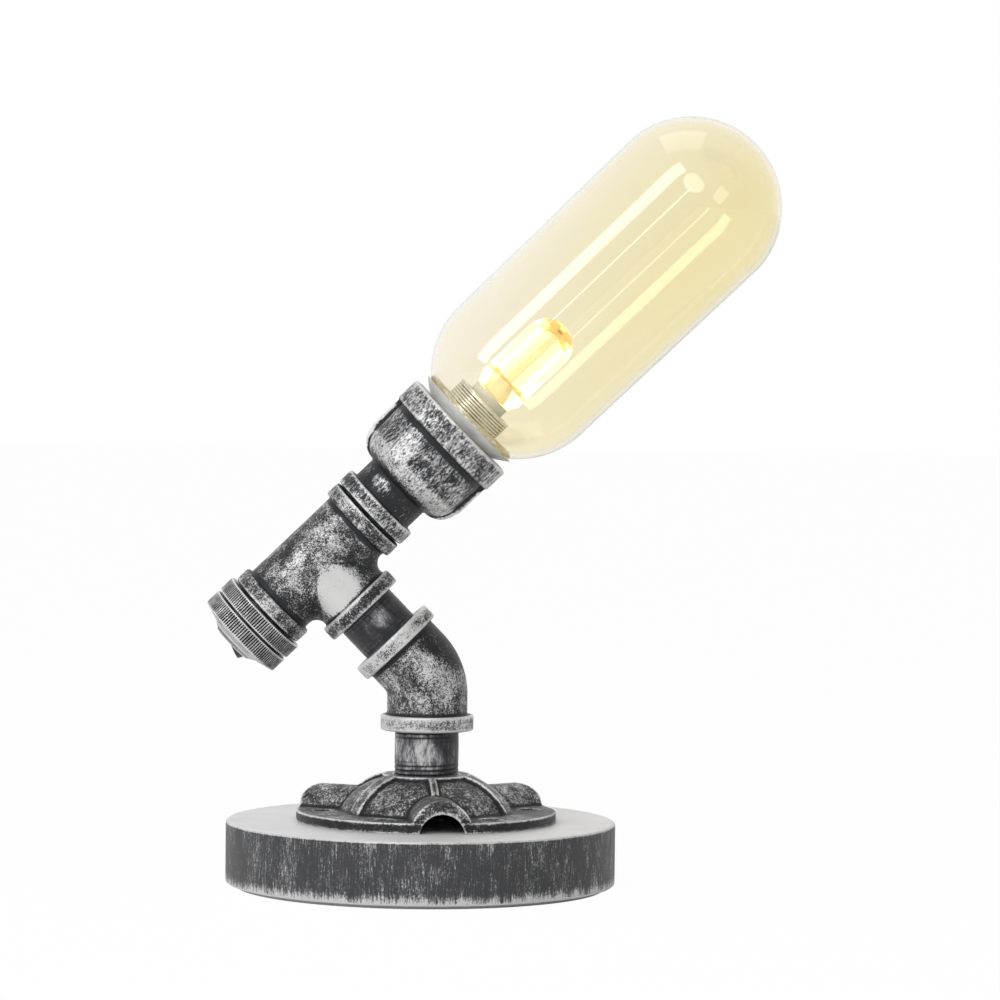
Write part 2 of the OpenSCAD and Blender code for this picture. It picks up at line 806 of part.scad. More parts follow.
module holder_sleeve() {
    bare = ring_t + seat_t + glass_t + 2 * free_gap;
    lines = floor((sleeve_out - bare) / sleeve_pitch) - 1;
    color("silver") at_head() difference() {
        ring(sleeve_d / 2, sleeve_d / 2 - sleeve_wall, sleeve_bottom, sleeve_top);
        thread_lines(sleeve_d / 2, rim_top + bare + sleeve_pitch, sleeve_pitch, lines, sleeve_groove);
    }
}

module holder_ceramic() {
    tab_top = ceramic_bottom + contact_size[2] - contact_tab + free_gap;
    color("whitesmoke") at_head() difference() {
        translate([0, 0, ceramic_bottom])
            cylinder(r = sleeve_d / 2 - sleeve_wall - fit, h = ceramic_len);
        for (side = [-1, 1]) translate([0, side * pin_pitch / 2, 0]) {
            translate([0, 0, tab_top - overrun]) cylinder(r = pin_hole_r, h = ceramic_len);
            translate([
                -contact_size[0] / 2 - fit, -contact_size[1] / 2 - fit, ceramic_bottom - overrun,
            ])
                cube([
                    contact_size[0] + 2 * fit, contact_size[1] + 2 * fit,
                    tab_top - ceramic_bottom + overrun,
                ]);
        }
    }
}

module holder_contacts() {
    color("goldenrod") at_head()
        for (side = [-1, 1])
            translate([
                -contact_size[0] / 2, side * pin_pitch / 2 - contact_size[1] / 2,
                ceramic_bottom - contact_tab,
            ])
                cube(contact_size);
}

module head_leads() {
    out = tee_branch - thread_grip - lead_d / 2;
    term = terminal_pitch / 2;
    term_end = -cap_end + switch_skirt_h + switch_body_h + terminal_size[2];
    side_x = -pipe_bore_r / 2;
    tab = ceramic_bottom - contact_tab;
    low = tab - 4 * lead_d;
    color("firebrick") at_head() {
        lead([[out, lead_offset, 0], [0, term, term_end / 2], [0, term, term_end]]);
        lead([
            [0, -term, term_end + lead_d / 4], [side_x, -term, term_end / 2], [side_x, -term, tab / 2],
            [side_x, pin_pitch / 2, low], [0, pin_pitch / 2, tab - lead_d], [0, pin_pitch / 2, tab],
        ]);
        lead([
            [out, -lead_offset, 0], [0, -lead_offset, 0], [0, -lead_offset, low],
            [0, -pin_pitch / 2, tab - lead_d], [0, -pin_pitch / 2, tab],
        ]);
    }
}

// Shade and bulb

// Half outline of the glass capsule, drawn in by inset, for turning
module glass_outline(inset) {
    low_r = glass_low_d / 2;
    high_r = glass_high_d / 2;
    corner_x = high_r - glass_corner_r;
    crown_r = (corner_x ^ 2 + glass_crown_h ^ 2 - glass_corner_r ^ 2)
        / (2 * (glass_crown_h - glass_corner_r));
    crown_c = glass_top - crown_r;
    far = 2 * glass_high_d;
    intersection() {
        translate([low_r - glass_low_r, glass_low_c]) circle(glass_low_r - inset, $fn = 128);
        translate([0, glass_bottom + inset]) square([low_r, glass_low_h]);
    }
    translate([0, glass_low_c]) polygon([
        [0, 0], [low_r - inset, 0], [high_r - inset, glass_side_h], [0, glass_side_h],
    ]);
    translate([0, glass_high_c - overrun]) square([corner_x, overrun]);
    intersection() {
        translate([corner_x, glass_high_c]) circle(glass_corner_r - inset, $fn = 128);
        translate([0, glass_high_c]) square([high_r, far]);
    }
    intersection() {
        translate([0, crown_c]) circle(crown_r - inset, $fn = 128);
        polygon([
            [0, glass_high_c], [corner_x, glass_high_c],
            [0, crown_c] + far / norm([corner_x, glass_high_c - crown_c])
                * [corner_x, glass_high_c - crown_c],
            [0, crown_c + far],
        ]);
    }
}

module shade_glass() {
    color("lemonchiffon", 0.4) at_head() difference() {
        rotate_extrude() difference() {
            glass_outline(0);
            glass_outline(glass_t);
        }
        translate([0, 0, glass_bottom - overrun])
            cylinder(r = sleeve_d / 2 + free_gap, h = glass_t + 2 * overrun);
    }
}

module shade_ring() {
    grips = 24;
    low = glass_bottom + glass_t;
    color("silver") at_head() difference() {
        translate([0, 0, low]) linear_extrude(ring_t)
            polygon([for (i = [0 : 2 * grips - 1])
                (ring_d / 2 - (i % 2) * sleeve_groove) * [cos(i * 180 / grips), sin(i * 180 / grips)]]);
        translate([0, 0, low - overrun]) cylinder(r = sleeve_d / 2 + fit, h = ring_t + 2 * overrun);
    }
}

module bulb_base() {
    color("lightgray") at_head() difference() {
        translate([0, 0, bulb_start]) cylinder(d = bulb_base_d, h = bulb_base_h);
        for (side = [-1, 1])
            translate([0, side * pin_pitch / 2, bulb_start - overrun])
                cylinder(d = pin_d, h = bulb_base_h / 2 + overrun);
    }
}

module bulb_pins() {
    color("silver") at_head()
        for (side = [-1, 1])
            translate([0, side * pin_pitch / 2, bulb_start - pin_len])
                cylinder(d = pin_d, h = pin_len + bulb_base_h / 2);
}

// Half outline of the bulb's glass, drawn in by inset, for turning
module bulb_outline(inset) {
    translate([0, bulb_glass_start + inset]) polygon([
        [0, 0], [bulb_base_d / 2 - inset, 0], [bulb_r - inset, bulb_taper_h],
        [bulb_r - inset, bulb_h - bulb_r - inset], [0, bulb_h - bulb_r - inset],
    ]);
    intersection() {
        translate([0, bulb_top - bulb_r]) circle(bulb_r - inset);
        translate([0, bulb_top - bulb_r]) square([bulb_r, bulb_r]);
    }
}

module bulb_envelope() {
    color("lightyellow", 0.5) at_head() rotate_extrude() difference() {
        bulb_outline(0);
        bulb_outline(bulb_wall);
    }
}

module bulb_stem() {
    color("gainsboro") at_head() {
        translate([0, 0, bulb_glass_start + bulb_wall])
            cylinder(d1 = stem_d, d2 = stem_d - 2 * rod_d, h = stem_h - bulb_wall);
        translate([0, 0, bulb_glass_start + stem_h]) cylinder(d = rod_d, h = filament_len + clip_t);
    }
}

module bulb_clips() {
    color("goldenrod") at_head()
        for (low = [filament_start - clip_t, filament_end]) translate([0, 0, low]) difference() {
            union() {
                ring(rod_d, rod_d / 2, 0, clip_t);
                for (i = [0 : filament_count - 1]) rotate([0, 0, (i + 0.5) * 360 / filament_count]) {
                    translate([rod_d / 2, -clip_arm_w / 2, 0])
                        cube([filament_circle_r - rod_d / 2, clip_arm_w, clip_t]);
                    translate([filament_circle_r, 0, 0]) cylinder(d = filament_d, h = clip_t);
                }
            }
            translate([0, 0, -overrun]) cylinder(d = rod_d, h = clip_t + 2 * overrun);
        }
}

module bulb_filaments() {
    color("khaki") at_head() translate([0, 0, filament_start])
        for (i = [0 : filament_count - 1])
            rotate([0, 0, (i + 0.5) * 360 / filament_count])
                translate([filament_circle_r, 0, 0]) cylinder(d = filament_d, h = filament_len);
}

// Switch cap

module cap_bushing() {
    color("black") at_cap() translate([0, 0, tee_down - thread_grip])
        nipple(thread_grip + cap_gap + knurl_w, thread_grip, 0);
}

module knurl_band(low, high) {
    r = knurl_d / 2;
    translate([0, 0, low]) linear_extrude(high - low)
        polygon([for (i = [0 : 2 * knurl_teeth - 1])
            (r - (i % 2) * knurl_depth) * [cos(i * 180 / knurl_teeth), sin(i * 180 / knurl_teeth)]]);
}

module knurled_cap() {
    core_r = knurl_d / 2 - groove_depth;
    color("silver") at_cap() difference() {
        union() {
            knurl_band(cap_start, band_end);
            knurl_band(band_two_start, cap_cone_start);
            translate([0, 0, cap_start]) cylinder(r = core_r, h = cap_cone_start - cap_start);
            translate([0, 0, cap_cone_start])
                cylinder(r1 = knurl_d / 2 - knurl_depth - fit, r2 = bezel_d / 2, h = cap_cone_h);
        }
        translate([0, 0, cap_start - overrun])
            cylinder(r = thread_bore_r, h = cap_cone_start - cap_wall - cap_start + overrun);
        translate([0, 0, cap_start]) cylinder(r = switch_d / 2 + fit, h = cap_end);
    }
}

module switch_bezel() {
    color("silver") at_cap() difference() {
        union() {
            translate([0, 0, cap_end])
                cylinder(r1 = bezel_d / 2, r2 = rocker_hole_r + bezel_lip_w, h = bezel_h);
            translate([0, 0, cap_end - switch_skirt_h]) cylinder(d = switch_d, h = switch_skirt_h);
        }
        translate([0, 0, cap_end - switch_skirt_h - overrun])
            cylinder(r = rocker_hole_r, h = switch_skirt_h + bezel_h + 2 * overrun);
        translate([0, 0, axle_w]) rotate([90, 0, 0])
            cylinder(d = axle_d, h = 2 * (rocker_hole_r + axle_seat), center = true);
    }
}

module switch_body() {
    low = cap_end - switch_skirt_h - switch_body_h;
    color("black") at_cap() difference() {
        translate([0, 0, low]) cylinder(d = switch_d, h = switch_body_h);
        translate([0, 0, low + switch_body_h - switch_well_h])
            cylinder(r = rocker_hole_r, h = switch_well_h + overrun);
    }
}

module switch_terminals() {
    low = cap_end - switch_skirt_h - switch_body_h;
    color("goldenrod") at_cap()
        for (side = [-1, 1])
            translate([
                -terminal_size[0] / 2, side * terminal_pitch / 2 - terminal_size[1] / 2,
                low - terminal_size[2],
            ])
                cube(terminal_size);
}

module rocker_pin() {
    color("silver") at_cap() translate([0, 0, axle_w]) rotate([90, 0, 0])
        cylinder(d = axle_d, h = 2 * (rocker_hole_r + axle_seat), center = true);
}

module rocker() {
    color("black") at_cap() translate([0, 0, axle_w]) rotate([0, -rocker_tilt, 0]) difference() {
        intersection() {
            sphere(rocker_r);
            rotate([90, 0, 0]) linear_extrude(rocker_d, center = true) polygon([
                [-rocker_r, -rocker_root], [rocker_r, -rocker_root], [rocker_r, rocker_edge_h],
                [0, rocker_dip_h], [-rocker_r, rocker_edge_h],
            ]);
        }
        rotate([90, 0, 0]) cylinder(r = axle_d / 2 + fit, h = rocker_d + overrun, center = true);
    }
}

base_disc();
base_pad();
cord_grommet();
terminal_block();
base_leads();
floor_flange();
flange_screws();
lower_nipple();
elbow();
tee_nipple();
mast_leads();
tee();
close_nipple();
reducer_cup();
holder_plate();
sleeve_locknut();
shade_seat();
holder_sleeve();
holder_ceramic();
holder_contacts();
head_leads();
cap_bushing();
knurled_cap();
switch_bezel();
switch_body();
switch_terminals();
rocker_pin();
rocker();
shade_ring();
shade_glass();
bulb_base();
bulb_pins();
bulb_envelope();
bulb_stem();
bulb_clips();
bulb_filaments();
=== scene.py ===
"""Looks of a table lamp of pipe fittings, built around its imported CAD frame. Metres, +Z up."""

import json
import math
from typing import NamedTuple

import bmesh
import bpy
import numpy as np
from mathutils import Matrix, Vector, noise


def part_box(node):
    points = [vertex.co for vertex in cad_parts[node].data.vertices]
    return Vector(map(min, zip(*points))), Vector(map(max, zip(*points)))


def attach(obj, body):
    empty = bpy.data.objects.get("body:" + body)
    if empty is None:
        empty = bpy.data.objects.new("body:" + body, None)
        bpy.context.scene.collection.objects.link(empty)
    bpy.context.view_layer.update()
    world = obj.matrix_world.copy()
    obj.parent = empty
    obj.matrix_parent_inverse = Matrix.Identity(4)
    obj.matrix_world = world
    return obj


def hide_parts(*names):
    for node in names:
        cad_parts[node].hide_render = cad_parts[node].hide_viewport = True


MM = 0.001
TURN = 2 * math.pi

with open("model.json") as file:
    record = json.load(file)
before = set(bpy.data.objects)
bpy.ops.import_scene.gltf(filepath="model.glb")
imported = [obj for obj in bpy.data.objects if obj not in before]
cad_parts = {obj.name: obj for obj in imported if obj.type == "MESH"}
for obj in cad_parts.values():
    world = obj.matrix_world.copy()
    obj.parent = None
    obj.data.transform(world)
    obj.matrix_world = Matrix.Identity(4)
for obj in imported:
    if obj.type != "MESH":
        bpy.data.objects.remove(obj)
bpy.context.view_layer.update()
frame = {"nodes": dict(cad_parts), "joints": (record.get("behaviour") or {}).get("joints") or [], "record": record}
joints = {joint["name"]: joint for joint in frame["joints"]}
SLOTS = {row["node"]: row["material_slot"] for row in frame["record"]["subparts"]}


# Camera, as the photograph was taken
LENS = 164.98
SENSOR_WIDTH = 36.0
CAMERA_AT = (0.03925, -1.760, 0.21825)
CAMERA_PITCH = -2.246
CAMERA_YAW = 0.331
CAMERA_ROLL = 0.688

camera = bpy.data.objects.new("camera", bpy.data.cameras.new("camera"))
bpy.context.scene.collection.objects.link(camera)
camera.data.lens = LENS
camera.data.sensor_width = SENSOR_WIDTH
camera.matrix_world = (
    Matrix.Translation(CAMERA_AT)
    @ Matrix.Rotation(math.radians(CAMERA_YAW), 4, "Z")
    @ Matrix.Rotation(math.radians(90 + CAMERA_PITCH), 4, "X")
    @ Matrix.Rotation(math.radians(CAMERA_ROLL), 4, "Z")
)
bpy.context.scene.camera = camera
bpy.context.scene.view_settings.view_transform = "Standard"


# Local frames: z runs along a fitting's axis, y is the row's +Y
def local_frame(origin, axis):
    z = Vector(axis).normalized()
    y = Vector((0, 1, 0))
    x = y.cross(z).normalized()
    made = Matrix((x, y, z)).transposed().to_4x4()
    made.translation = Vector(origin)
    return made


TEE_DISTANCE = 60.8 * MM
MAST_X = joints["mast_swivel"]["pos_m"][0]
TEE_AT = Vector(joints["arm_swing"]["pos_m"])
BRANCH_AXIS = Vector(joints["arm_swing"]["axis"])
HEAD_AXIS = Vector(joints["shade_lift"]["axis"])
BASE = local_frame((0, 0, 0), (0, 0, 1))
MAST = local_frame((MAST_X, 0, 0), (0, 0, 1))
ELBOW = local_frame(TEE_AT - BRANCH_AXIS * TEE_DISTANCE, BRANCH_AXIS)
HEAD = local_frame(TEE_AT, HEAD_AXIS)
CAP = local_frame(TEE_AT, -HEAD_AXIS)


# Node trees
def add_node(tree, kind, inputs=None, **settings):
    """A shader node with these settings, each input linked to a socket or set to a value."""
    made = tree.nodes.new("ShaderNode" + kind)
    for key, value in settings.items():
        setattr(made, key, value)
    for key, value in (inputs or {}).items():
        if isinstance(value, bpy.types.NodeSocket):
            tree.links.new(value, made.inputs[key])
        else:
            made.inputs[key].default_value = value
    return made


class Spot(NamedTuple):
    """An ellipsoid in a look's local frame, in millimetres, and how much brighter it is."""

    at: tuple
    reach: tuple
    share: float


class Band(NamedTuple):
    """A stretch of height in millimetres, fading over soft outside it, and how much brighter it is."""

    low: float
    high: float
    soft: float
    share: float


class Shader:
    """A material whose nodes are added by short calls, laid out in a local frame."""

    def __init__(self, name, place):
        """place and height are the shaded point, and its height, in the local frame."""
        self.material = bpy.data.materials.new(name)
        self.material.use_nodes = True
        self.tree = self.material.node_tree
        self.tree.nodes.clear()
        self.output = self.node("OutputMaterial")
        self.place = self.placed_in(place)
        self.height = self.part_of(self.place, "Z")

    def node(self, kind, inputs=None, **settings):
        return add_node(self.tree, kind, inputs, **settings)

    def placed_in(self, place):
        """The shaded point in a local frame."""
        return self.node("Mapping", {
            "Vector": self.node("TexCoord").outputs["Object"],
            "Location": place.translation, "Rotation": place.to_euler(),
        }, vector_type="TEXTURE").outputs[0]

    def part_of(self, vector, axis):
        """A vector's X, Y or Z."""
        return self.node("SeparateXYZ", {"Vector": vector}).outputs[axis]

    def stretched(self, scale):
        """The shaded point scaled on each axis: below 1, grain is drawn out along that axis."""
        return self.node("Mapping", {"Vector": self.place, "Scale": scale}).outputs[0]

    def grain(self, size, detail, rough, bend=0.0, vector=None):
        """Noise with features of about this size in metres."""
        return self.node("TexNoise", {
            "Vector": vector or self.place, "Scale": 1.0 / size, "Detail": detail,
            "Roughness": rough, "Distortion": bend,
        }).outputs[0]

    def ranged(self, value, low, high, to_low=0.0, to_high=1.0):
        """The value, taken from low..high to to_low..to_high and held at both ends."""
        return self.node("MapRange", {
            "Value": value, "From Min": low, "From Max": high, "To Min": to_low, "To Max": to_high,
        }).outputs[0]

    def math(self, operation, a, b):
        return self.node("Math", {0: a, 1: b}, operation=operation).outputs[0]

    def total(self, *terms):
        """Sum of values, each given as (value, share) or as a plain value."""
        result = None
        for term in terms:
            part = self.math("MULTIPLY", *term) if isinstance(term, tuple) else term
            result = part if result is None else self.math("ADD", result, part)
        return result

    def between(self, low, high, soft, height=None):
        """1 from one height to another, fading to 0 over soft metres outside them."""
        rise = height or self.height
        return self.math(
            "MULTIPLY", self.ranged(rise, low - soft, low), self.ranged(rise, high + soft, high)
        )

    def band(self, band, height=None):
        """A band as a term of a total."""
        return self.between(band.low * MM, band.high * MM, band.soft * MM, height), band.share

    def spot(self, spot, soft=0.3):
        """A spot with a soft border as a term of a total."""
        scaled = self.node("Mapping", {
            "Vector": self.place,
            "Location": tuple(-at / reach for at, reach in zip(spot.at, spot.reach)),
            "Scale": tuple(1 / (reach * MM) for reach in spot.reach),
        }).outputs[0]
        gap = self.node("VectorMath", {0: scaled}, operation="LENGTH").outputs["Value"]
        return self.ranged(gap, 1 + soft, 1 - soft), spot.share

    def ramp(self, value, stops):
        """A colour for each value, blended between (value, colour) stops."""
        made = self.node("ValToRGB", {"Fac": value})
        ends = made.color_ramp.elements
        while len(ends) < len(stops):
            ends.new(1.0)
        for end, (at, colour) in zip(ends, stops):
            end.position = at
            end.color = (*colour, 1)
        return made.outputs["Color"]

    def mix(self, share, a, b):
        """The colour a, with b in its place by this share."""
        return self.node("Mix", {0: share, 6: a, 7: b}, data_type="RGBA").outputs[2]

    def mark(self, name):
        """A mark that a mesh carries on its points; 0 where it has none."""
        return self.node("Attribute", attribute_name=name).outputs["Fac"]

    def bump(self, height, depth, strength):
        return self.node("Bump", {
            "Height": height, "Distance": depth, "Strength": strength,
        }).outputs[0]

    def principled(self, **inputs):
        """A Principled shader with these inputs, written with _ for a space."""
        spaced = {key.replace("_", " "): value for key, value in inputs.items()}
        return self.node("BsdfPrincipled", spaced)

    def blend(self, share, a, b):
        """The shader a, with b in its place by this share."""
        return self.node("MixShader", {0: share, 1: a.outputs[0], 2: b.outputs[0]})

    def finish(self, shader):
        """Makes a shader the material's surface."""
        self.tree.links.new(shader.outputs[0], self.output.inputs["Surface"])


# Materials
def antique_cast(s, streak=(1.0, 1.0, 1.0), level=0.0, spots=(), bands=(), mast_bands=()):
    """Charcoal paint dry-brushed with silver: bright on edges, dark in corners, speckled between.
    The dark in corners is partly the charcoal paint and partly painted shade. Spots and bands brighten
    or darken places, some as painted highlight and some as painted shade.
    bands lie across the look's own frame and mast_bands across the mast."""
    along = s.stretched(streak)
    speck = s.grain(0.40 * MM, detail=3, rough=0.75, vector=along)
    fine = s.grain(1.0 * MM, detail=4, rough=0.7, bend=0.5, vector=along)
    patch = s.grain(7 * MM, detail=3, rough=0.55, bend=0.4)
    terms = [
        # Hollows darken the paint, partly as charcoal left there and partly as painted shade
        speck, (fine, 0.75), (patch, 0.50), (s.mark("worn"), 0.42), (s.mark("hollow_patina_and_shade"), -0.5), level,
    ]
    terms += [s.spot(spot) for spot in spots]
    terms += [s.band(band) for band in bands]
    if mast_bands:
        rise = s.part_of(s.placed_in(MAST), "Z")
        terms += [s.band(band, rise) for band in mast_bands]
    silver = s.ranged(s.total(*terms), low=1.00, high=1.25)
    colour = s.ramp(silver, [
        (0.0, (0.016, 0.017, 0.019)), (0.25, (0.040, 0.041, 0.044)), (0.48, (0.13, 0.13, 0.135)),
        (0.66, (0.34, 0.34, 0.35)), (0.84, (0.62, 0.62, 0.62)), (1.0, (0.80, 0.80, 0.795)),
    ])
    s.finish(s.principled(
        Base_Color=colour,
        Metallic=s.ranged(silver, 0.3, 0.9, to_low=0.2, to_high=0.5),
        Roughness=s.ranged(silver, 0.2, 0.9, to_low=0.46, to_high=0.36),
        Normal=s.bump(s.total((speck, 0.5), (fine, 0.6)), depth=0.22 * MM, strength=0.85),
    ))


def brushed_paint(s, level=0.0, spots=()):
    """Dark, smooth silver paint with fine scratches along the pipe and paler rubbed patches; its thread grooves
    are darkened as painted shade.
    """
    along = s.stretched((1.0, 1.0, 0.3))
    lines = s.grain(0.5 * MM, detail=4, rough=0.65, vector=along)
    wide = s.grain(2.6 * MM, detail=4, rough=0.6, bend=0.5, vector=along)
    patch = s.grain(9 * MM, detail=3, rough=0.55, bend=0.4)
    terms = [
        (lines, 0.6), (wide, 0.7), (patch, 0.8), (s.mark("worn"), 0.3), (s.mark("hollow_patina_and_shade"), -0.8), level,
    ]
    terms += [s.spot(spot, soft=0.6) for spot in spots]
    tone = s.ranged(s.total(*terms), low=0.90, high=1.40)
    colour = s.ramp(tone, [
        (0.0, (0.030, 0.031, 0.034)), (0.35, (0.07, 0.07, 0.075)), (0.65, (0.22, 0.22, 0.23)),
        (0.85, (0.50, 0.50, 0.51)), (1.0, (0.74, 0.74, 0.74)),
    ])
    s.finish(s.principled(
        Base_Color=colour,
        Metallic=s.ranged(tone, 0.3, 0.9, to_low=0.35, to_high=0.65),
        Roughness=s.ranged(lines, 0.3, 0.7, to_low=0.36, to_high=0.48),
        Normal=s.bump(s.total((lines, 0.6), (wide, 0.4)), depth=0.05 * MM, strength=0.5),
    ))


BASE_FOOT, BASE_TOP = (corner[2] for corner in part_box("base_disc"))


def base_paint(s):
    """The round base: a pale top, a dark side with silver strokes up and down, bright worn edges."""
    strokes = s.grain(0.6 * MM, detail=4, rough=0.72, vector=s.stretched((1.0, 1.0, 0.10)))
    broad = s.grain(7 * MM, detail=4, rough=0.6, bend=0.4, vector=s.stretched((1.0, 1.0, 0.35)))
    speck = s.grain(0.55 * MM, detail=3, rough=0.7, vector=s.stretched((1.0, 1.0, 0.6)))
    wander = s.grain(1.6 * MM, detail=4, rough=0.65, vector=s.stretched((1.0, 1.0, 0.02)))
    ragged = s.total(s.height, (wander, 6 * MM), -3.0 * MM)
    foot = s.ranged(ragged, BASE_FOOT + 4.6 * MM, BASE_FOOT + 0.6 * MM)
    crown = s.ranged(ragged, BASE_TOP - 3.2 * MM, BASE_TOP - 0.6 * MM)
    top_edge = s.between(BASE_TOP - 0.7 * MM, BASE_TOP - 0.1 * MM, soft=0.3 * MM)
    low_edge = s.between(BASE_FOOT - 0.4 * MM, BASE_FOOT + 0.5 * MM, soft=0.4 * MM)
    tone = s.ranged(s.total(
        strokes, (broad, 0.65), (speck, 0.8), (foot, 0.37), (crown, 0.03), (top_edge, 0.34),
        (low_edge, 0.3),
    ), low=1.19, high=1.56)
    side = s.ramp(tone, [
        (0.0, (0.052, 0.053, 0.056)), (0.25, (0.075, 0.076, 0.08)), (0.48, (0.17, 0.17, 0.175)),
        (0.7, (0.40, 0.40, 0.405)), (1.0, (0.72, 0.72, 0.72)),
    ])
    fleck = s.grain(1.6 * MM, detail=4, rough=0.6)
    haze = s.grain(22 * MM, detail=3, rough=0.5)
    top = s.ramp(s.total((fleck, 0.35), (haze, 0.65)), [
        (0.30, (0.82, 0.82, 0.82)), (0.55, (0.89, 0.89, 0.89)), (0.75, (0.93, 0.93, 0.925)),
    ])
    s.finish(s.principled(
        Base_Color=s.mix(s.ranged(s.height, BASE_TOP - 0.5 * MM, BASE_TOP - 0.1 * MM), side, top),
        Metallic=s.ranged(tone, 0.3, 0.8, to_low=0.1, to_high=0.35),
        Roughness=s.ranged(speck, 0.3, 0.7, to_low=0.42, to_high=0.56),
        Normal=s.bump(s.total((strokes, 0.5), (speck, 0.5)), depth=0.08 * MM, strength=0.5),
    ))


def ridged_steel(s, level=0.0):
    """Antique nickel: bright, rubbed ridges with blackened grooves, which are partly patina and partly painted
    shade.
    """
    lines = s.grain(0.6 * MM, detail=3, rough=0.6, vector=s.stretched((1.0, 1.0, 0.25)))
    patch = s.grain(5 * MM, detail=3, rough=0.6, bend=0.4)
    tone = s.ranged(s.total(
        (lines, 0.4), (patch, 0.7), (s.mark("worn"), 0.35), (s.mark("hollow_patina_and_shade"), -1.0), level,
    ), low=0.05, high=0.75)
    colour = s.ramp(tone, [
        (0.0, (0.012, 0.012, 0.013)), (0.35, (0.09, 0.09, 0.095)), (0.6, (0.42, 0.42, 0.43)),
        (0.85, (0.72, 0.72, 0.72)), (1.0, (0.82, 0.82, 0.82)),
    ])
    s.finish(s.principled(
        Base_Color=colour,
        Metallic=s.ranged(tone, 0.2, 0.9, to_low=0.3, to_high=0.6),
        Roughness=s.ranged(lines, 0.3, 0.7, to_low=0.3, to_high=0.42),
        Normal=s.bump(lines, depth=0.04 * MM, strength=0.5),
    ))


def nickel(s, light=(0.80, 0.79, 0.76), rough=0.22, metal=0.85):
    """Plated steel with fine turning lines and faint stains, more or less metallic, darkened in its grooves as
    painted shade.
    """
    lines = s.grain(0.3 * MM, detail=3, rough=0.6, vector=s.stretched((0.2, 0.2, 1.0)))
    stain = s.grain(7 * MM, detail=3, rough=0.55)
    colour = s.ramp(s.total(stain, (s.mark("hollow_patina_and_shade"), -0.6)), [
        (0.0, tuple(0.30 * c for c in light)), (0.3, tuple(0.8 * c for c in light)), (0.7, light),
    ])
    s.finish(s.principled(
        Base_Color=colour, Metallic=metal,
        Roughness=s.ranged(lines, 0.3, 0.7, to_low=rough, to_high=rough + 0.14),
        Normal=s.bump(lines, depth=0.02 * MM, strength=0.4),
    ))


BROAD_GRAIN = 14


def plain_grain(s, low, high, size, rough, depth, metallic=0.0, sheen=0.0):
    """A plain stuff with fine grain, from felt and rubber to brass."""
    fine = s.grain(size, detail=4, rough=0.6)
    broad = s.grain(BROAD_GRAIN * size, detail=2, rough=0.5)
    s.finish(s.principled(
        Base_Color=s.ramp(s.total((fine, 0.6), (broad, 0.4)), [(0.3, low), (0.7, high)]),
        Metallic=metallic, Sheen_Weight=sheen,
        Roughness=s.ranged(fine, 0.3, 0.7, to_low=rough - 0.06, to_high=rough + 0.08),
        Normal=s.bump(fine, depth=depth, strength=0.5),
    ))


def glass(s, pale, deep, waves, shadow, glow=(1.0, 1.0, 1.0, 1.0), glow_strength=0.0):
    """Coated glass, from pale at its left and low end to deep, that lets lamp light through. The paler left is a
    painted highlight.
    """
    roll = s.grain(30 * MM, detail=2, rough=0.5)
    cloud = s.grain(45 * MM, detail=2, rough=0.5)
    # Paler to the left, a painted highlight, and to the low end; deeper to the right and top
    deepness = s.total(
        (s.ranged(s.part_of(s.place, "X"), -30 * MM, 16 * MM), 0.55),
        (s.ranged(s.height, 90 * MM, 190 * MM), 0.35), (cloud, 0.2),
    )
    solid = s.principled(
        Base_Color=s.ramp(deepness, [(0.2, pale), (0.95, deep)]), Roughness=0.0, IOR=1.47,
        Transmission_Weight=1.0, Normal=s.bump(roll, depth=waves, strength=0.6),
        Emission_Color=glow, Emission_Strength=glow_strength,
    )
    clear = s.node("BsdfTransparent", {"Color": (*shadow, 1)})
    s.finish(s.blend(s.node("LightPath").outputs["Is Shadow Ray"], solid, clear))


def glowing(s, colour, hot, strength):
    """Phosphor sticks, lit, a little uneven along their length."""
    beads = s.grain(1.2 * MM, detail=2, rough=0.5)
    s.finish(s.principled(
        Base_Color=s.ramp(beads, [(0.3, colour), (0.7, hot)]), Roughness=0.5,
        Emission_Color=s.ramp(beads, [(0.25, colour), (0.6, hot)]), Emission_Strength=strength,
    ))


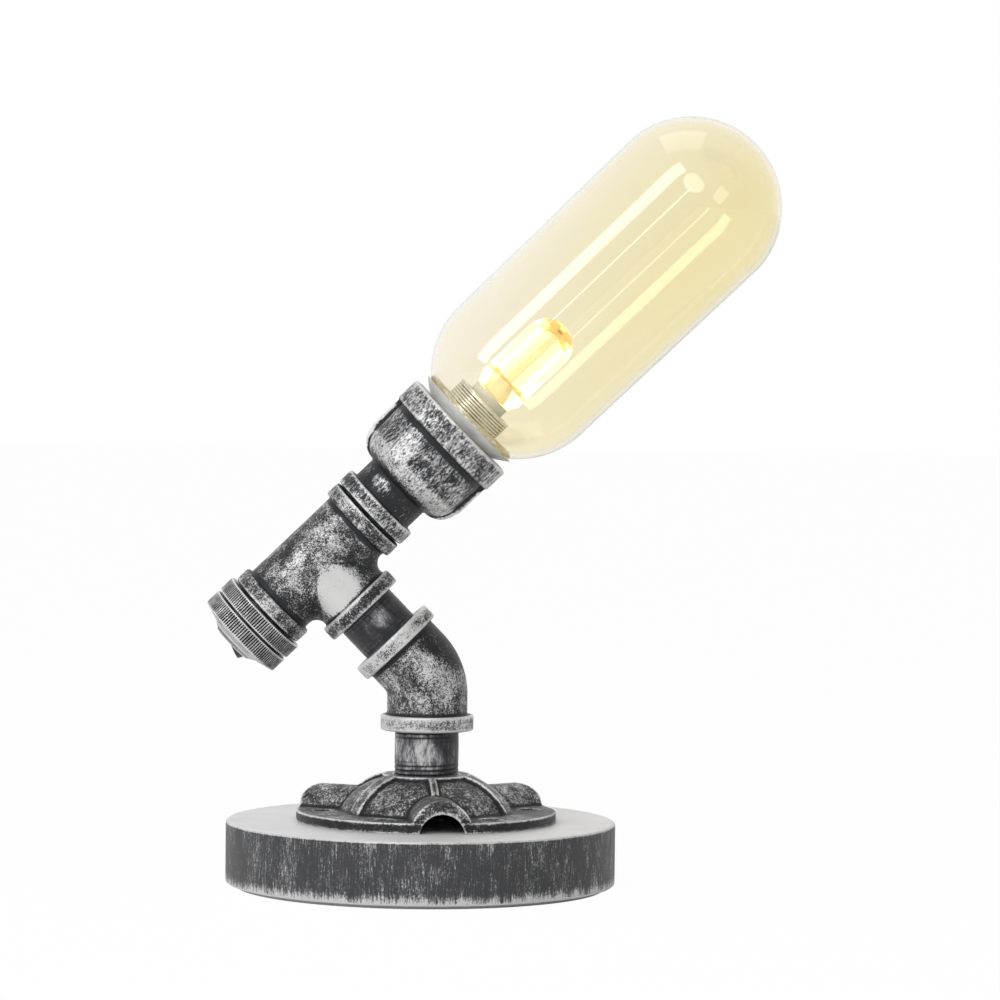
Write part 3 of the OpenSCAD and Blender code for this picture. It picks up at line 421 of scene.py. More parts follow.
LOOKS = {
    "base_paint": (base_paint, {}),
    "cast_silver": (antique_cast, {}),
    "pipe_paint": (brushed_paint, {}),
    "knurl_steel": (ridged_steel, {}),
    "bright_steel": (nickel, {}),
    "socket_ceramic": (plain_grain, dict(
        low=(0.50, 0.53, 0.56), high=(0.66, 0.68, 0.70), size=0.5 * MM, rough=0.45, depth=0.03 * MM)),
    "bush_rubber": (plain_grain, dict(
        low=(0.02, 0.02, 0.02), high=(0.05, 0.05, 0.05), size=0.4 * MM, rough=0.6, depth=0.03 * MM)),
    "lead_rubber": (plain_grain, dict(
        low=(0.28, 0.04, 0.03), high=(0.40, 0.07, 0.05), size=0.4 * MM, rough=0.5, depth=0.02 * MM)),
    "felt": (plain_grain, dict(
        low=(0.46, 0.46, 0.45), high=(0.60, 0.60, 0.59), size=0.25 * MM, rough=0.9, depth=0.15 * MM,
        sheen=0.4)),
    "block_plastic": (plain_grain, dict(
        low=(0.72, 0.70, 0.62), high=(0.82, 0.80, 0.72), size=0.4 * MM, rough=0.45, depth=0.02 * MM)),
    "switch_plastic": (plain_grain, dict(
        low=(0.03, 0.03, 0.032), high=(0.07, 0.07, 0.075), size=0.35 * MM, rough=0.34,
        depth=0.03 * MM)),
    "screw_black": (plain_grain, dict(
        low=(0.02, 0.02, 0.02), high=(0.08, 0.08, 0.085), size=0.5 * MM, rough=0.4, depth=0.03 * MM,
        metallic=0.6)),
    "contact_brass": (plain_grain, dict(
        low=(0.50, 0.33, 0.10), high=(0.72, 0.52, 0.20), size=0.6 * MM, rough=0.3, depth=0.01 * MM,
        metallic=1.0)),
    "amber_glass": (glass, dict(
        pale=(0.973, 0.939, 0.848), deep=(0.926, 0.869, 0.645), waves=0.05 * MM,
        shadow=(0.95, 0.90, 0.72))),
    "clear_glass": (glass, dict(
        pale=(0.99, 0.985, 0.96), deep=(0.985, 0.975, 0.93), waves=0.01 * MM,
        shadow=(0.98, 0.98, 0.96))),
    "filament_phosphor": (glowing, dict(colour=(1.0, 0.76, 0.30), hot=(1.0, 0.93, 0.66), strength=3.0)),
}
made_looks = {}


def look(slot, place, name=None, **changes):
    """A slot's material laid out in a local frame. Changes to it need a name of their own."""
    key = (name or slot, tuple(round(value, 9) for row in place for value in row))
    if key not in made_looks:
        make, settings = LOOKS[slot]
        s = Shader(f"{name or slot}.{len(made_looks)}", place)
        make(s, **{**settings, **changes})
        made_looks[key] = s.material
    return made_looks[key]


# Mesh helpers: every piece is made in a local frame and then set down in the row frame
def add_object(name, mesh, place, material, body, node):
    """Sets a mesh down as a piece that rides on a body in a CAD node's place."""
    mesh.transform(place)
    made = bpy.data.objects.new(name, mesh)
    bpy.context.scene.collection.objects.link(made)
    mesh.materials.clear()
    mesh.materials.append(material)
    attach(made, body)
    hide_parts(node)


def set_mark(mesh, name, values):
    """Writes a value on each point, for the materials to read."""
    mark = mesh.attributes.new(name, "FLOAT", "POINT")
    mark.data.foreach_set("value", np.asarray(values, np.float32))


def point_rows(mesh, name):
    """Each point's co or normal as a row of an array."""
    values = np.empty(len(mesh.vertices) * 3)
    mesh.vertices.foreach_get(name, values)
    return values.reshape(-1, 3)


LEAST_SIDE = 1e-9
FILLET_SHARE_OF_SIDE = 0.48


def rounded(corners, steps=3):
    """A closed outline of (r, h, fillet) corners as points (r, h, turn): turn is 1 on a fillet that
    stands out, -1 on one that lies in a corner and 0 elsewhere."""
    out = []
    for i, (r, h, fillet) in enumerate(corners):
        here = Vector((r, h))
        back = Vector(corners[i - 1][:2]) - here
        ahead = Vector(corners[(i + 1) % len(corners)][:2]) - here
        if fillet <= 0 or min(back.length, ahead.length) < LEAST_SIDE:
            out.append((r, h, 0.0))
            continue
        back_way, ahead_way = back.normalized(), ahead.normalized()
        half = math.acos(max(-1.0, min(1.0, back_way.dot(ahead_way)))) / 2
        longest = FILLET_SHARE_OF_SIDE * min(back.length, ahead.length)
        reach = min(fillet / math.tan(half), longest)
        radius = reach * math.tan(half)
        turn = -1.0 if (ahead_way.x * back_way.y - ahead_way.y * back_way.x) < 0 else 1.0
        middle = here + (back_way + ahead_way).normalized() * (radius / math.sin(half))
        a = here + back_way * reach - middle
        b = here + ahead_way * reach - middle
        opening = a.angle(b)
        for k in range(steps + 1):
            low_share, high_share = (math.sin(part * opening / steps) for part in (steps - k, k))
            p = middle + (a * low_share + b * high_share) / math.sin(opening)
            out.append((p.x, p.y, turn))
    return out


def dense(outline, step):
    """The closed outline with more points on its long runs, so that wear marks stay at the corners."""
    out = []
    for i, (r, h, turn) in enumerate(outline):
        out.append((r, h, turn))
        next_r, next_h, _ = outline[(i + 1) % len(outline)]
        pieces = int(math.hypot(next_r - r, next_h - h) / step)
        out += [
            (r + (next_r - r) * k / pieces, h + (next_h - h) * k / pieces, 0.0) for k in range(1, pieces)
        ]
    return out


MERGE_GAP = 1e-7
LEAST_EDGE = 1e-8
SMOOTH_LIMIT = math.radians(35)


def clean_and_smooth(mesh):
    """Merges the points on the axis and shades smooth, but for edges sharper than the limit."""
    work = bmesh.new()
    work.from_mesh(mesh)
    bmesh.ops.remove_doubles(work, verts=work.verts, dist=MERGE_GAP)
    bmesh.ops.dissolve_degenerate(work, dist=LEAST_EDGE, edges=work.edges)
    bmesh.ops.recalc_face_normals(work, faces=work.faces)
    for edge in work.edges:
        edge.smooth = len(edge.link_faces) == 2 and edge.calc_face_angle(0.0) < SMOOTH_LIMIT
    for face in work.faces:
        face.smooth = True
    work.to_mesh(mesh)
    work.free()


def turned(name, outline, place, material, body, node, segments, shape=None):
    """A solid of revolution of a closed outline of (r, h, turn) points.
    shape(r, h, angle), on arrays, gives each point's own r and how far it lies in a groove. The mark of hollows
    written here darkens corners and grooves: painted shade, and on the antique finishes also the dark paint left
    in them."""
    rows = len(outline)
    r, h, turn = (np.repeat(np.array(part), segments) for part in zip(*outline))
    angle = np.tile(TURN * np.arange(segments) / segments, rows)
    hollow_patina_and_shade = np.clip(-turn, 0, 1)
    if shape:
        r, shaped_hollow = shape(r, h, angle)
        hollow_patina_and_shade = np.maximum(hollow_patina_and_shade, shaped_hollow)
    verts = np.stack([r * np.cos(angle), r * np.sin(angle), h], axis=1)
    faces = []
    for i in range(rows):
        low, high = i * segments, (i + 1) % rows * segments
        for k in range(segments):
            m = (k + 1) % segments
            faces.append((low + k, low + m, high + m, high + k))
    mesh = bpy.data.meshes.new(name)
    mesh.from_pydata(verts.tolist(), [], faces)
    set_mark(mesh, "worn", np.clip(turn, 0, 1))
    # Corners and grooves, for the painted shade in them
    set_mark(mesh, "hollow_patina_and_shade", hollow_patina_and_shade)
    clean_and_smooth(mesh)
    add_object(name, mesh, place, material, body, node)


class Net:
    """A mesh's edges, along which values of its points are evened out."""

    def __init__(self, mesh):
        edges = np.empty(len(mesh.edges) * 2, np.int64)
        mesh.edges.foreach_get("vertices", edges)
        self.ends = edges.reshape(-1, 2).T
        self.degree = np.maximum(np.bincount(edges, minlength=len(mesh.vertices)), 1)[:, None]

    def eased(self, values, share):
        """Each row moved by this share towards the mean of its neighbours."""
        total = np.zeros_like(values)
        one, other = self.ends
        np.add.at(total, one, values[other])
        np.add.at(total, other, values[one])
        return values + share * (total / self.degree - values)


# Castings: each is remeshed finely, softened and roughened
CAST_VOXEL = 0.42 * MM
SOFTENING_PASSES, SHRINK, GROW = 4, 0.5, -0.51
WEAR_PASSES, WEAR_SHARE, WEAR_BLUR, WEAR_GAIN = 6, 0.6, 0.5, 2.4
SKIN_LUMPS = ((700, 1.0), (1500, 0.6))


def remeshed(node, place):
    """A fine, even mesh of a CAD node in a local frame."""
    mesh = frame["nodes"][node].data.copy()
    mesh.transform(place.inverted())
    scratch = bpy.data.objects.new("scratch", mesh)
    bpy.context.scene.collection.objects.link(scratch)
    remesh = scratch.modifiers.new("remesh", "REMESH")
    remesh.mode = "VOXEL"
    remesh.voxel_size = CAST_VOXEL
    bpy.context.view_layer.update()
    made = bpy.data.meshes.new_from_object(scratch.evaluated_get(bpy.context.evaluated_depsgraph_get()))
    bpy.data.objects.remove(scratch)
    return made


def casting(name, node, place, material, body, rough, shift):
    """A cast piece from its CAD solid: corners rounded as sand casting leaves them, a skin with
    lumps of about rough, laid out by shift, and marks on each point for worn edges and hollows. The darkening of
    the hollows is partly the charcoal paint left in them and partly painted shade."""
    mesh = remeshed(node, place)
    net = Net(mesh)
    co = point_rows(mesh, "co")
    for _ in range(SOFTENING_PASSES):
        co = net.eased(net.eased(co, SHRINK), GROW)
    mesh.vertices.foreach_set("co", co.ravel())
    mesh.update()
    normals = point_rows(mesh, "normal")
    soft = co
    for _ in range(WEAR_PASSES):
        soft = net.eased(soft, WEAR_SHARE)
    bend = ((co - soft) * normals).sum(axis=1, keepdims=True) / CAST_VOXEL
    bend = net.eased(net.eased(bend, WEAR_BLUR), WEAR_BLUR).ravel()
    set_mark(mesh, "worn", np.clip(bend * WEAR_GAIN, 0, 1))
    # Hollows, for the charcoal paint left in them and for painted shade
    set_mark(mesh, "hollow_patina_and_shade", np.clip(-bend * WEAR_GAIN, 0, 1))
    shifted = Vector((shift, shift, shift))
    lumps = np.array([
        sum(share * noise.noise(Vector(p) * rate + shifted) for rate, share in SKIN_LUMPS) for p in co
    ])
    mesh.vertices.foreach_set("co", (co + normals * (lumps * rough)[:, None]).ravel())
    mesh.transform(place)
    low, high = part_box(node)
    inside = np.clip(point_rows(mesh, "co"), np.array(low), np.array(high))
    mesh.vertices.foreach_set("co", inside.ravel())
    mesh.update()
    mesh.shade_smooth()
    add_object(name, mesh, Matrix.Identity(4), material, body, node)


# Y of a spot on a fitting's front, in millimetres
FRONT = -14

# Floor flange
flange_silver = look(
    "cast_silver", MAST, "flange_silver", level=-0.06,
    spots=[
        Spot((6.5, -46, 34), (12, 9, 9), -0.05),
        # A darker right lobe: painted shade on the right side
        Spot((44, -5, 33), (12, 16, 9), -0.12),
    ],
    bands=[Band(25.0, 28.6, 0.3, -0.16)],
)
casting("flange_casting", "floor_flange", MAST, flange_silver, "base", rough=0.05 * MM, shift=3.1)

# Elbow
elbow_silver = look(
    "cast_silver", ELBOW, "elbow_silver", level=-0.03,
    spots=[
        # A paler middle of the front: painted highlight
        Spot((4, FRONT, -2), (7, 9, 9), 0.10),
        # A darker upper right side: painted shade
        Spot((13, -8, 6), (6, 12, 12), -0.20),
    ],
    # The first band is a dark ring at the foot of the bead: painted shade in the corner
    bands=[Band(13.6, 14.4, 0.8, -0.25), Band(15.4, 20.6, 0.3, 0.12)],
    mast_bands=[Band(60.4, 66.2, 0.3, 0.09)],
)
casting("elbow_casting", "elbow", ELBOW, elbow_silver, "mast", rough=0.04 * MM, shift=7.7)

# Tee
tee_silver = look(
    "cast_silver", HEAD, "tee_silver", level=-0.09,
    spots=[
        Spot((12.0, FRONT, -1.0), (8.5, 13, 8.5), 0.34),
        Spot((16.5, FRONT, -6.5), (4.5, 13, 5), 0.26),
        # A long pale streak up the run: partly rubbed paint, partly painted highlight
        Spot((-4, FRONT, 1.0), (6, 9, 19), 0.12),
    ],
    bands=[
        # Dark rings at the feet of the beads: painted shade in the corners
        Band(19.6, 20.2, 1.6, -0.28), Band(-21.3, -20.7, 1.6, -0.28),
        # Dark rings at the gaps to the cup and the cap: painted shade between the parts
        Band(26.0, 28, 0.25, -0.6), Band(-29, -27.1, 0.25, -0.6),
        Band(21.6, 25.9, 0.3, 0.05), Band(-27, -22.4, 0.3, 0.05),
    ],
)
casting("tee_casting", "tee", HEAD, tee_silver, "head", rough=0.04 * MM, shift=11.3)

# Reducing cup
cup_silver = look(
    "cast_silver", HEAD, "cup_silver", level=-0.05, streak=(1.0, 1.0, 0.35),
    spots=[
        Spot((-5.5, FRONT, 38.5), (4.5, 9, 2.6), 0.17),
        # A paler patch on the cup's front: painted highlight
        Spot((-9, -20, 56), (5, 10, 6), 0.14),
    ],
    bands=[
        # The neck darker: painted shade; the shoulder paler: painted highlight; a dark ring under the rim: painted
        # shade
        Band(34, 43.5, 1.5, -0.16), Band(46.5, 50, 2.5, 0.11), Band(64.0, 65.4, 1.2, -0.34),
        # A dark ring at the gap to the tee: painted shade between the parts
        Band(26, 27.4, 0.25, -0.6), Band(67.0, 75.5, 0.4, 0.05),
    ],
)
casting("cup_casting", "reducer_cup", HEAD, cup_silver, "head", rough=0.03 * MM, shift=17.9)


# Sizes that several pieces share, as in the part's source
FIT, FREE_GAP = 0.05 * MM, 0.3 * MM
PIPE_R, PIPE_WALL, GRIP = 12.3 * MM, 3.0 * MM, 12 * MM
SLEEVE_R, RIM_TOP = 12.65 * MM, 75.5 * MM

# How far inside the outer radius a point is still cut by threads and knurling
SURFACE_BAND = 0.1 * MM

# Steps between an outline's points, on plain runs and on threads
LONG_RUN_STEP, THREAD_LINE_STEP = 0.4 * MM, 0.12 * MM


def thread(r, h, angle, step, depth, fade):
    """The radius with a helical V groove of this depth times fade, and how deep the point lies in it."""
    half_width_share = 0.30
    phase = (h / step - angle / TURN) % 1.0
    cut = np.clip(1 - np.abs(phase - 0.5) / half_width_share, 0, 1) * fade
    return r - depth * cut, cut


# Pipe nipples, with helical threads that run out next to the fittings
THREAD_STEP = 1.8 * MM
LOW_RUN_OUT, HIGH_RUN_OUT, THREAD_HIDDEN = 3.2 * THREAD_STEP, 2.4 * THREAD_STEP, 2 * THREAD_STEP
HOLLOW_PER_METRE = 2600
PIPE_ROWS = 220


def pipe_nipple(name, node, place, material, start, bare, slack, low_depth, high_depth):
    """A pipe that grips a fitting at each end of its bare stretch. Its thread turns have these depths
    next to the low and the high fitting."""
    length = 2 * GRIP + bare - slack
    low_end, high_end = start + GRIP, start + GRIP + bare

    def shape(r, h, angle):
        outer = r > PIPE_R - SURFACE_BAND
        low_fade = np.clip(1 - (h - low_end) / LOW_RUN_OUT, 0, 1) * (h > low_end - THREAD_HIDDEN)
        high_fade = np.clip(1 - (high_end - h) / HIGH_RUN_OUT, 0, 1) * (h < high_end + THREAD_HIDDEN)
        low_r, low_cut = thread(r, h, angle, THREAD_STEP, low_depth, low_fade * outer)
        high_r, high_cut = thread(r, h, angle, THREAD_STEP, high_depth, high_fade * outer)
        depth = low_cut * low_depth + high_cut * high_depth
        return low_r + high_r - r, np.clip(depth * HOLLOW_PER_METRE, 0, 1)

    bore_r = PIPE_R - PIPE_WALL
    inner_line = [(bore_r, start + length, 0.0), (bore_r, start, 0.0)]
    outer_line = [(PIPE_R, start + length * k / PIPE_ROWS, 0.0) for k in range(PIPE_ROWS + 1)]
    turned(name, inner_line + outer_line, place, material, "mast", node, segments=144, shape=shape)


FLANGE_TOP = 43.4 * MM
lower_paint = look("pipe_paint", MAST, "lower_pipe", level=0.13, spots=[
    # A paler front: painted highlight; a darker right side: painted shade
    Spot((-2, -12, 53), (5, 9, 6), 0.20),
    Spot((11, -6, 53), (6, 9, 14), -0.24),
])
pipe_nipple(
    "lower_pipe", "lower_nipple", MAST, lower_paint, start=FLANGE_TOP - GRIP, bare=17 * MM, slack=0,
    low_depth=0.45 * MM, high_depth=0.30 * MM,
)

ELBOW_REACH = 20.8 * MM
tee_paint = look("pipe_paint", ELBOW, "tee_pipe", level=-0.08, spots=[
    Spot((2, -12, 28), (3.5, 9, 4), 0.18),
])
pipe_nipple(
    "tee_pipe", "tee_nipple", ELBOW, tee_paint, start=ELBOW_REACH - GRIP, bare=13.8 * MM, slack=FIT,
    low_depth=0.12 * MM, high_depth=0.12 * MM,
)

# Knurled switch housing, along the cap's axis
CAP_START, BAND_W, BAND_GAP, CONE_H, CAP_WALL = 28.3 * MM, 6.3 * MM, 1.0 * MM, 2.1 * MM, 1.4 * MM
BAND_END = CAP_START + BAND_W
BAND_TWO = BAND_END + BAND_GAP
CONE_START = BAND_TWO + BAND_W
CAP_END = CONE_START + CONE_H
KNURL_R, KNURL_DEPTH, GROOVE_DEPTH, TEETH = 18.3 * MM, 0.5 * MM, 1.3 * MM, 110
KNURL_INSET, KNURL_FADE = 0.45 * MM, 0.35 * MM
BEZEL_R, SWITCH_R = 10.8 * MM, 8.6 * MM


def knurl(r, h, angle):
    """V grooves along the bands, which fade out before the bands' edges."""
    groove_share = 0.55
    wave = np.abs((angle * TEETH / TURN) % 1.0 - 0.5) * 2
    valley = np.clip((groove_share - wave) / (1 - groove_share), 0, 1)
    inset = np.min([np.abs(h - edge) for edge in (CAP_START, BAND_END, BAND_TWO, CONE_START)], axis=0)
    fade = np.clip((inset - KNURL_INSET) / KNURL_FADE, 0, 1) * (r > KNURL_R - SURFACE_BAND)
    return r - KNURL_DEPTH * valley * fade, valley * fade


CAP_BORE_R, CAP_BORE_END = PIPE_R + FIT, CONE_START - CAP_WALL
GROOVE_R, CONE_R = KNURL_R - GROOVE_DEPTH, KNURL_R - KNURL_DEPTH - FIT
BAND_FILLET, GROOVE_FILLET, MOUTH_FILLET = 0.35 * MM, 0.15 * MM, 0.2 * MM
cap_outline = dense(rounded([
    (CAP_BORE_R, CAP_START, 0), (KNURL_R, CAP_START, BAND_FILLET), (KNURL_R, BAND_END, BAND_FILLET),
    (GROOVE_R, BAND_END, GROOVE_FILLET), (GROOVE_R, BAND_TWO, GROOVE_FILLET),
    (KNURL_R, BAND_TWO, BAND_FILLET), (KNURL_R, CONE_START, BAND_FILLET), (CONE_R, CONE_START, 0),
    (BEZEL_R, CAP_END, MOUTH_FILLET), (SWITCH_R + FIT, CAP_END, 0),
    (SWITCH_R + FIT, CAP_BORE_END, 0), (CAP_BORE_R, CAP_BORE_END, 0),
]), LONG_RUN_STEP)
turned(
    "knurled_housing", cap_outline, CAP, look("knurl_steel", CAP, level=-0.04), "head", "knurled_cap",
    segments=TEETH * 8, shape=knurl,
)

# Bezel, with two turned rings on its cone: radii, and heights from the cap's end, in millimetres
BEZEL_LINE = [
    (10.8, 0), (10.2, 0.7), (10.0, 0.55), (9.35, 1.1), (9.1, 0.95), (8.1, 2.0), (7.3, 2.0), (7.3, -6.0),
    (8.6, -6.0), (8.6, 0),
]
BEZEL_FILLET = 0.12 * MM
bezel_corners = [(r * MM, CAP_END + h * MM, BEZEL_FILLET) for r, h in BEZEL_LINE]
bezel_outline = dense(rounded(bezel_corners), LONG_RUN_STEP)
turned(
    "bezel_ring", bezel_outline, CAP, look("knurl_steel", CAP, "bezel_steel", level=-0.12), "head",
    "switch_bezel", segments=160,
)

# Heights of the glass's foot and of the ring nut on it, where the sleeve's open thread starts
SEAT_T, GLASS_WALL, RING_T = 0.8 * MM, 1.8 * MM, 2.2 * MM
GLASS_BOTTOM = RIM_TOP + SEAT_T + FREE_GAP
RING_LOW = GLASS_BOTTOM + GLASS_WALL
RING_HIGH = RING_LOW + RING_T

# Threaded sleeve of the lamp holder
SLEEVE_WALL, SLEEVE_IN, SLEEVE_OUT = 1.6 * MM, 11 * MM, 13.2 * MM
SLEEVE_LOW, SLEEVE_TOP = RIM_TOP - SLEEVE_IN, RIM_TOP + SLEEVE_OUT
SLEEVE_BORE_R = SLEEVE_R - SLEEVE_WALL
SLEEVE_STEP, SLEEVE_GROOVE = 1.1 * MM, 0.3 * MM
RUN_IN, RUN_OUT, PLAIN_END = 0.8 * MM, 0.3 * MM, 0.5 * MM


def sleeve_thread(r, h, angle):
    """The fine thread, from the ring nut's top to just under the sleeve's end."""
    low_fade = np.clip((h - RING_HIGH) / RUN_IN, 0, 1)
    high_fade = np.clip((SLEEVE_TOP - PLAIN_END - h) / RUN_OUT, 0, 1)
    outer = r > SLEEVE_R - 2 * SURFACE_BAND
    return thread(r, h, angle, SLEEVE_STEP, SLEEVE_GROOVE, low_fade * high_fade * outer)


sleeve_outline = dense(rounded([
    (SLEEVE_BORE_R, SLEEVE_LOW, 0.2 * MM), (SLEEVE_R, SLEEVE_LOW, 0.2 * MM),
    (SLEEVE_R, SLEEVE_TOP, 0.25 * MM), (SLEEVE_BORE_R, SLEEVE_TOP, 0.3 * MM),
]), THREAD_LINE_STEP)
turned(
    "sleeve_thread", sleeve_outline, HEAD, look("bright_steel", HEAD), "head", "holder_sleeve",
    segments=128, shape=sleeve_thread,
)

# Glass capsule: a large round at the low end, a tapered side, corners and a flat crown
LOW_SIDE_R, LOW_FLAT, FOOT_R = 34.0 * MM, 1.2 * MM, 16.65 * MM
HIGH_SIDE_R, SIDE_H, CORNER_R, CROWN_H = 34.8 * MM, 91.5 * MM, 30 * MM, 33.7 * MM
LOW_R = LOW_SIDE_R + LOW_FLAT
LOW_C = GLASS_BOTTOM + math.sqrt(LOW_R ** 2 - (FOOT_R + LOW_FLAT) ** 2)
HIGH_C = LOW_C + SIDE_H
GLASS_TOP = HIGH_C + CROWN_H
ARC_STEPS, SIDE_STEPS, CROWN_STEPS = 40, 25, 20
QUARTER = TURN / 4


def arc(middle_r, middle_h, radius, start, end, steps):
    """Points of an arc in the (r, h) plane, with both its ends."""
    angles = (start + (end - start) * k / steps for k in range(steps + 1))
    return [(middle_r + radius * math.cos(a), middle_h + radius * math.sin(a)) for a in angles]


def capsule(inset):
    """Half outline of the glass from its hole to its crown, drawn in by inset."""
    bottom = GLASS_BOTTOM + inset
    low_r = LOW_R - inset
    points = [(SLEEVE_R + FREE_GAP, bottom)]
    foot = math.asin((bottom - LOW_C) / low_r)
    points += arc(LOW_SIDE_R - LOW_R, LOW_C, low_r, foot, 0, ARC_STEPS)
    for k in range(1, SIDE_STEPS):
        share = k / SIDE_STEPS
        points.append((LOW_SIDE_R + (HIGH_SIDE_R - LOW_SIDE_R) * share - inset, LOW_C + SIDE_H * share))
    corner_x = HIGH_SIDE_R - CORNER_R
    crown_r = (corner_x ** 2 + CROWN_H ** 2 - CORNER_R ** 2) / (2 * (CROWN_H - CORNER_R))
    crown_c = GLASS_TOP - crown_r
    meet = math.atan2(HIGH_C - crown_c, corner_x)
    points += arc(corner_x, HIGH_C, CORNER_R - inset, 0, meet, ARC_STEPS)
    points += arc(0.0, crown_c, crown_r - inset, meet, QUARTER, CROWN_STEPS)[1:]
    return [(max(r, 0.0), h, 0.0) for r, h in points]


glass_outline = capsule(0.0) + capsule(GLASS_WALL)[::-1]
turned(
    "glass_capsule", glass_outline, HEAD, look("amber_glass", HEAD), "shade", "shade_glass",
    segments=256,
)

# Ring nut that holds the glass, fluted for the fingers
RING_R, FLUTED_FROM_R, FLUTES, FLUTE_DEPTH, FLUTE_HOLLOW = 15 * MM, 14 * MM, 24, 0.45 * MM, 0.6


def flutes(r, h, angle):
    """Round flutes up the outside, the same at every height."""
    wave = (0.5 - 0.5 * np.cos(angle * FLUTES)) ** 2 * (r > FLUTED_FROM_R)
    return r - FLUTE_DEPTH * wave, wave * FLUTE_HOLLOW


ring_outline = dense(rounded([
    (SLEEVE_R + FIT, RING_LOW, 0.15 * MM), (RING_R, RING_LOW, 0.3 * MM),
    (RING_R, RING_HIGH, 0.4 * MM), (SLEEVE_R + FIT, RING_HIGH, 0.2 * MM),
], steps=4), LONG_RUN_STEP)
turned(
    "ring_nut", ring_outline, HEAD, look("bright_steel", HEAD), "shade", "shade_ring",
    segments=FLUTES * 12, shape=flutes,
)

# Bulb's glass: a flat foot, a short taper, a straight side and a round end
BULB_LOW, BULB_H, BULB_TAPER_H, BULB_WALL = 92.4 * MM, 38.6 * MM, 4 * MM, 0.8 * MM
BULB_FOOT_R, BULB_R, BULB_ARC_STEPS = 8 * MM, 10 * MM, 28


def bulb_line(inset):
    """Half outline of the bulb's glass from its foot to its top, drawn in by inset."""
    points = [(0.0, BULB_LOW + inset), (BULB_FOOT_R - inset, BULB_LOW + inset)]
    points.append((BULB_R - inset, BULB_LOW + BULB_TAPER_H))
    points += arc(0.0, BULB_LOW + BULB_H - BULB_R, BULB_R - inset, 0, QUARTER, BULB_ARC_STEPS)
    return [(max(r, 0.0), h, 0.0) for r, h in points]


# The bulb's glass glows faintly of itself: a painted glow around the lit filaments
bulb_glass = look("clear_glass", HEAD, glow=(0.17, 0.12, 0.035, 1), glow_strength=1.0)
bulb_outline = bulb_line(0.0) + bulb_line(BULB_WALL)[::-1]
turned("bulb_glass", bulb_outline, HEAD, bulb_glass, "bulb", "bulb_envelope", segments=128)

# CAD nodes shown as they are, with their looks laid out in the frame of the pieces around them
SHOWN_AS_THEY_ARE = (
    (BASE, ("base_disc", "base_pad", "cord_grommet", "terminal_block", "base_leads", "flange_screws")),
    (ELBOW, ("mast_leads",)),
    (HEAD, ("close_nipple", "holder_plate", "sleeve_locknut", "shade_seat", "holder_ceramic",
            "holder_contacts", "head_leads")),
    (CAP, ("cap_bushing", "switch_body", "switch_terminals", "rocker_pin", "rocker")),
    (HEAD, ("bulb_base", "bulb_pins", "bulb_stem", "bulb_clips", "bulb_filaments")),
)
for place, nodes in SHOWN_AS_THEY_ARE:
    for node in nodes:
        materials = frame["nodes"][node].data.materials
        materials.clear()
        materials.append(look(SLOTS[node], place))
# The seat is given a near-white, non-metal copy of the plated steel: painted light against the shade it sits in
frame["nodes"]["shade_seat"].data.materials[0] = look(
    "bright_steel", HEAD, "seat_painted_light", light=(0.93, 0.93, 0.91), rough=0.5, metal=0.0
)

# Floor, which fades into the white behind the object
FLOOR_HALF = 6.0
FLOOR_PAINT = 0.92
WHITE_WHERE_SEEN, WHITE_IN_GLOSS = 0.98, 0.5


def floor_material():
    s = Shader("floor", BASE)
    paint = s.node("BsdfDiffuse", {"Color": (FLOOR_PAINT, FLOOR_PAINT, FLOOR_PAINT, 1)})
    white = s.node("Emission", {"Color": (1, 1, 1, 1), "Strength": 1.0})
    path = s.node("LightPath").outputs
    seen = s.math("MAXIMUM", path["Is Camera Ray"], path["Is Transmission Ray"])
    share = s.math(
        "MAXIMUM", s.math("MULTIPLY", seen, WHITE_WHERE_SEEN),
        s.math("MULTIPLY", path["Is Glossy Ray"], WHITE_IN_GLOSS),
    )
    s.finish(s.blend(share, paint, white))
    return s.material


floor_mesh = bpy.data.meshes.new("floor")
floor_corners = [(x * FLOOR_HALF, y * FLOOR_HALF, 0) for x, y in ((-1, -1), (1, -1), (1, 1), (-1, 1))]
floor_mesh.from_pydata(floor_corners, [], [(0, 1, 2, 3)])
floor_mesh.materials.append(floor_material())
floor = bpy.data.objects.new("floor", floor_mesh)
bpy.context.scene.collection.objects.link(floor)


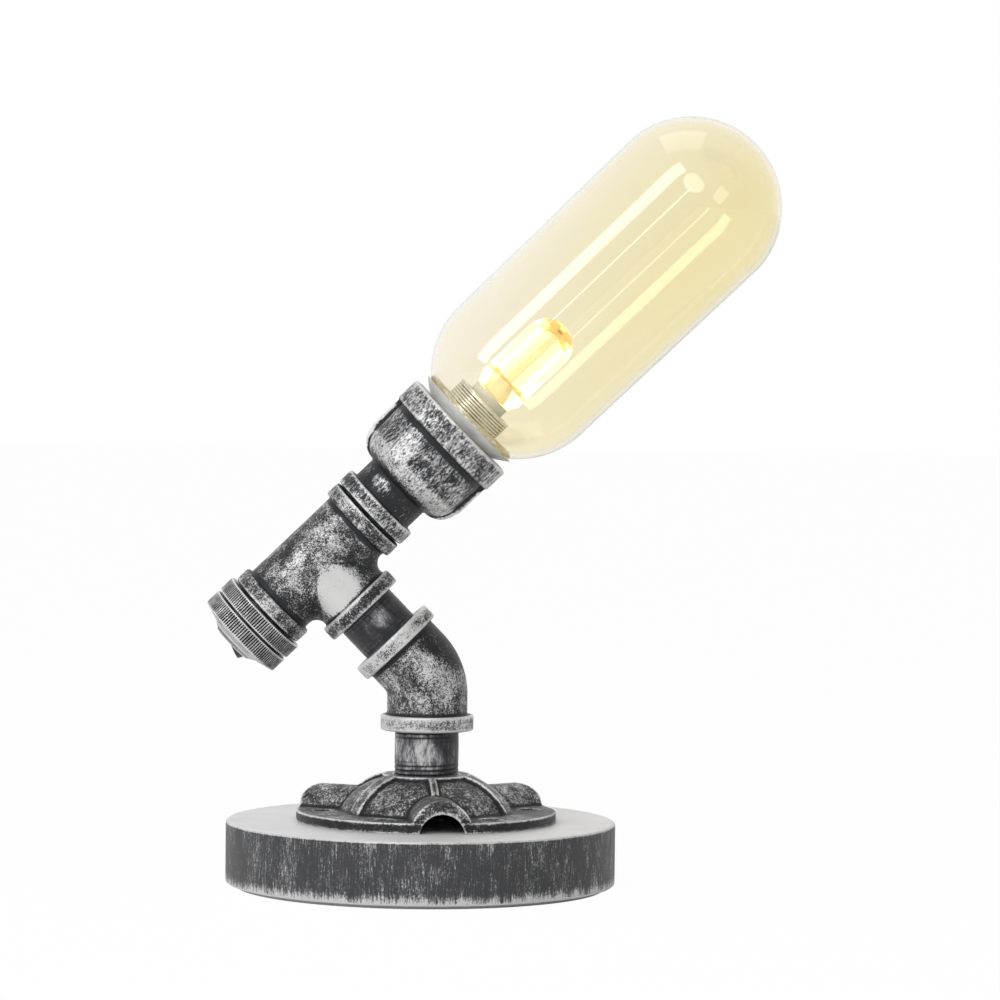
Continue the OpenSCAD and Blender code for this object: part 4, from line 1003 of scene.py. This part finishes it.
# World
def studio_world():
    """White where it is seen. Its light is dimmer from the right, and what metal and glass reflect of
    it is dimmer on the camera's side."""
    world = bpy.data.worlds.new("studio")
    world.use_nodes = True
    tree = world.node_tree
    tree.nodes.clear()
    path = add_node(tree, "LightPath").outputs
    seen = add_node(tree, "Math", {
        0: path["Is Camera Ray"], 1: path["Is Transmission Ray"],
    }, operation="MAXIMUM")
    way = add_node(tree, "SeparateXYZ", {0: add_node(tree, "TexCoord").outputs["Generated"]}).outputs
    light = add_node(tree, "MapRange", {
        "Value": way["X"], "From Min": -0.7, "From Max": 0.7, "To Min": 0.58, "To Max": 0.10,
    })
    shine = add_node(tree, "MapRange", {
        "Value": way["Y"], "From Min": -0.35, "From Max": 0.7, "To Min": 0.16, "To Max": 1.0,
    })
    unseen = add_node(tree, "Mix", {
        0: path["Is Glossy Ray"], 2: light.outputs[0], 3: shine.outputs[0],
    }, data_type="FLOAT")
    level = add_node(tree, "Mix", {0: seen.outputs[0], 2: unseen.outputs[0], 3: 1.0}, data_type="FLOAT")
    sky = add_node(tree, "Background", {"Color": (1, 1, 1, 1), "Strength": level.outputs[0]})
    add_node(tree, "OutputWorld", {"Surface": sky.outputs[0]}, is_active_output=True)
    return world


bpy.context.scene.world = studio_world()

# Lamps, all turned towards one point
AIM = Vector((0.06, 0.0, 0.20))
TO_CAMERA = Vector((0, -1, 0))
ACROSS = Vector((HEAD_AXIS.z, 0, -HEAD_AXIS.x))


def lamp(name, away, distance, size, radiance, shape="RECTANGLE"):
    """A soft lamp of this (width, length) and radiance in direction away from AIM, its length turned
    towards the glass's axis."""
    data = bpy.data.lights.new(name, "AREA")
    data.shape = shape
    width, length = size
    data.size, data.size_y = width, length
    area = width * length * (math.pi / 4 if shape == "ELLIPSE" else 1.0)
    data.energy = radiance * math.pi * area
    made = bpy.data.objects.new(name, data)
    bpy.context.scene.collection.objects.link(made)
    away = away.normalized()
    side = HEAD_AXIS.cross(away).normalized()
    turn = Matrix((side, away.cross(side), away)).transposed().to_4x4()
    turn.translation = AIM + away * distance
    made.matrix_world = turn


def beside(degrees):
    """The direction this far round the glass from the camera's side, square to its axis."""
    angle = math.radians(degrees)
    return TO_CAMERA * math.cos(angle) + ACROSS * math.sin(angle)


lamp("strip_left", beside(-49), distance=1.35, size=(0.36, 1.3), radiance=4.6)
lamp("strip_front", beside(-19), distance=1.30, size=(0.045, 0.7), radiance=4.0)
lamp("strip_right", beside(57), distance=1.45, size=(0.05, 1.1), radiance=3.0)
lamp("panel_right", beside(87), distance=1.6, size=(1.8, 1.3), radiance=0.45)
lamp(
    "dish_front", Vector((0.03, -0.86, 0.52)), distance=1.35, size=(0.64, 0.64), radiance=2.6,
    shape="ELLIPSE",
)
lamp("box_right", Vector((0.58, -0.77, 0.27)), distance=1.5, size=(0.36, 0.52), radiance=1.7)
lamp("top", Vector((-0.1, 0.1, 1.0)), distance=1.3, size=(0.8, 0.8), radiance=0.8)
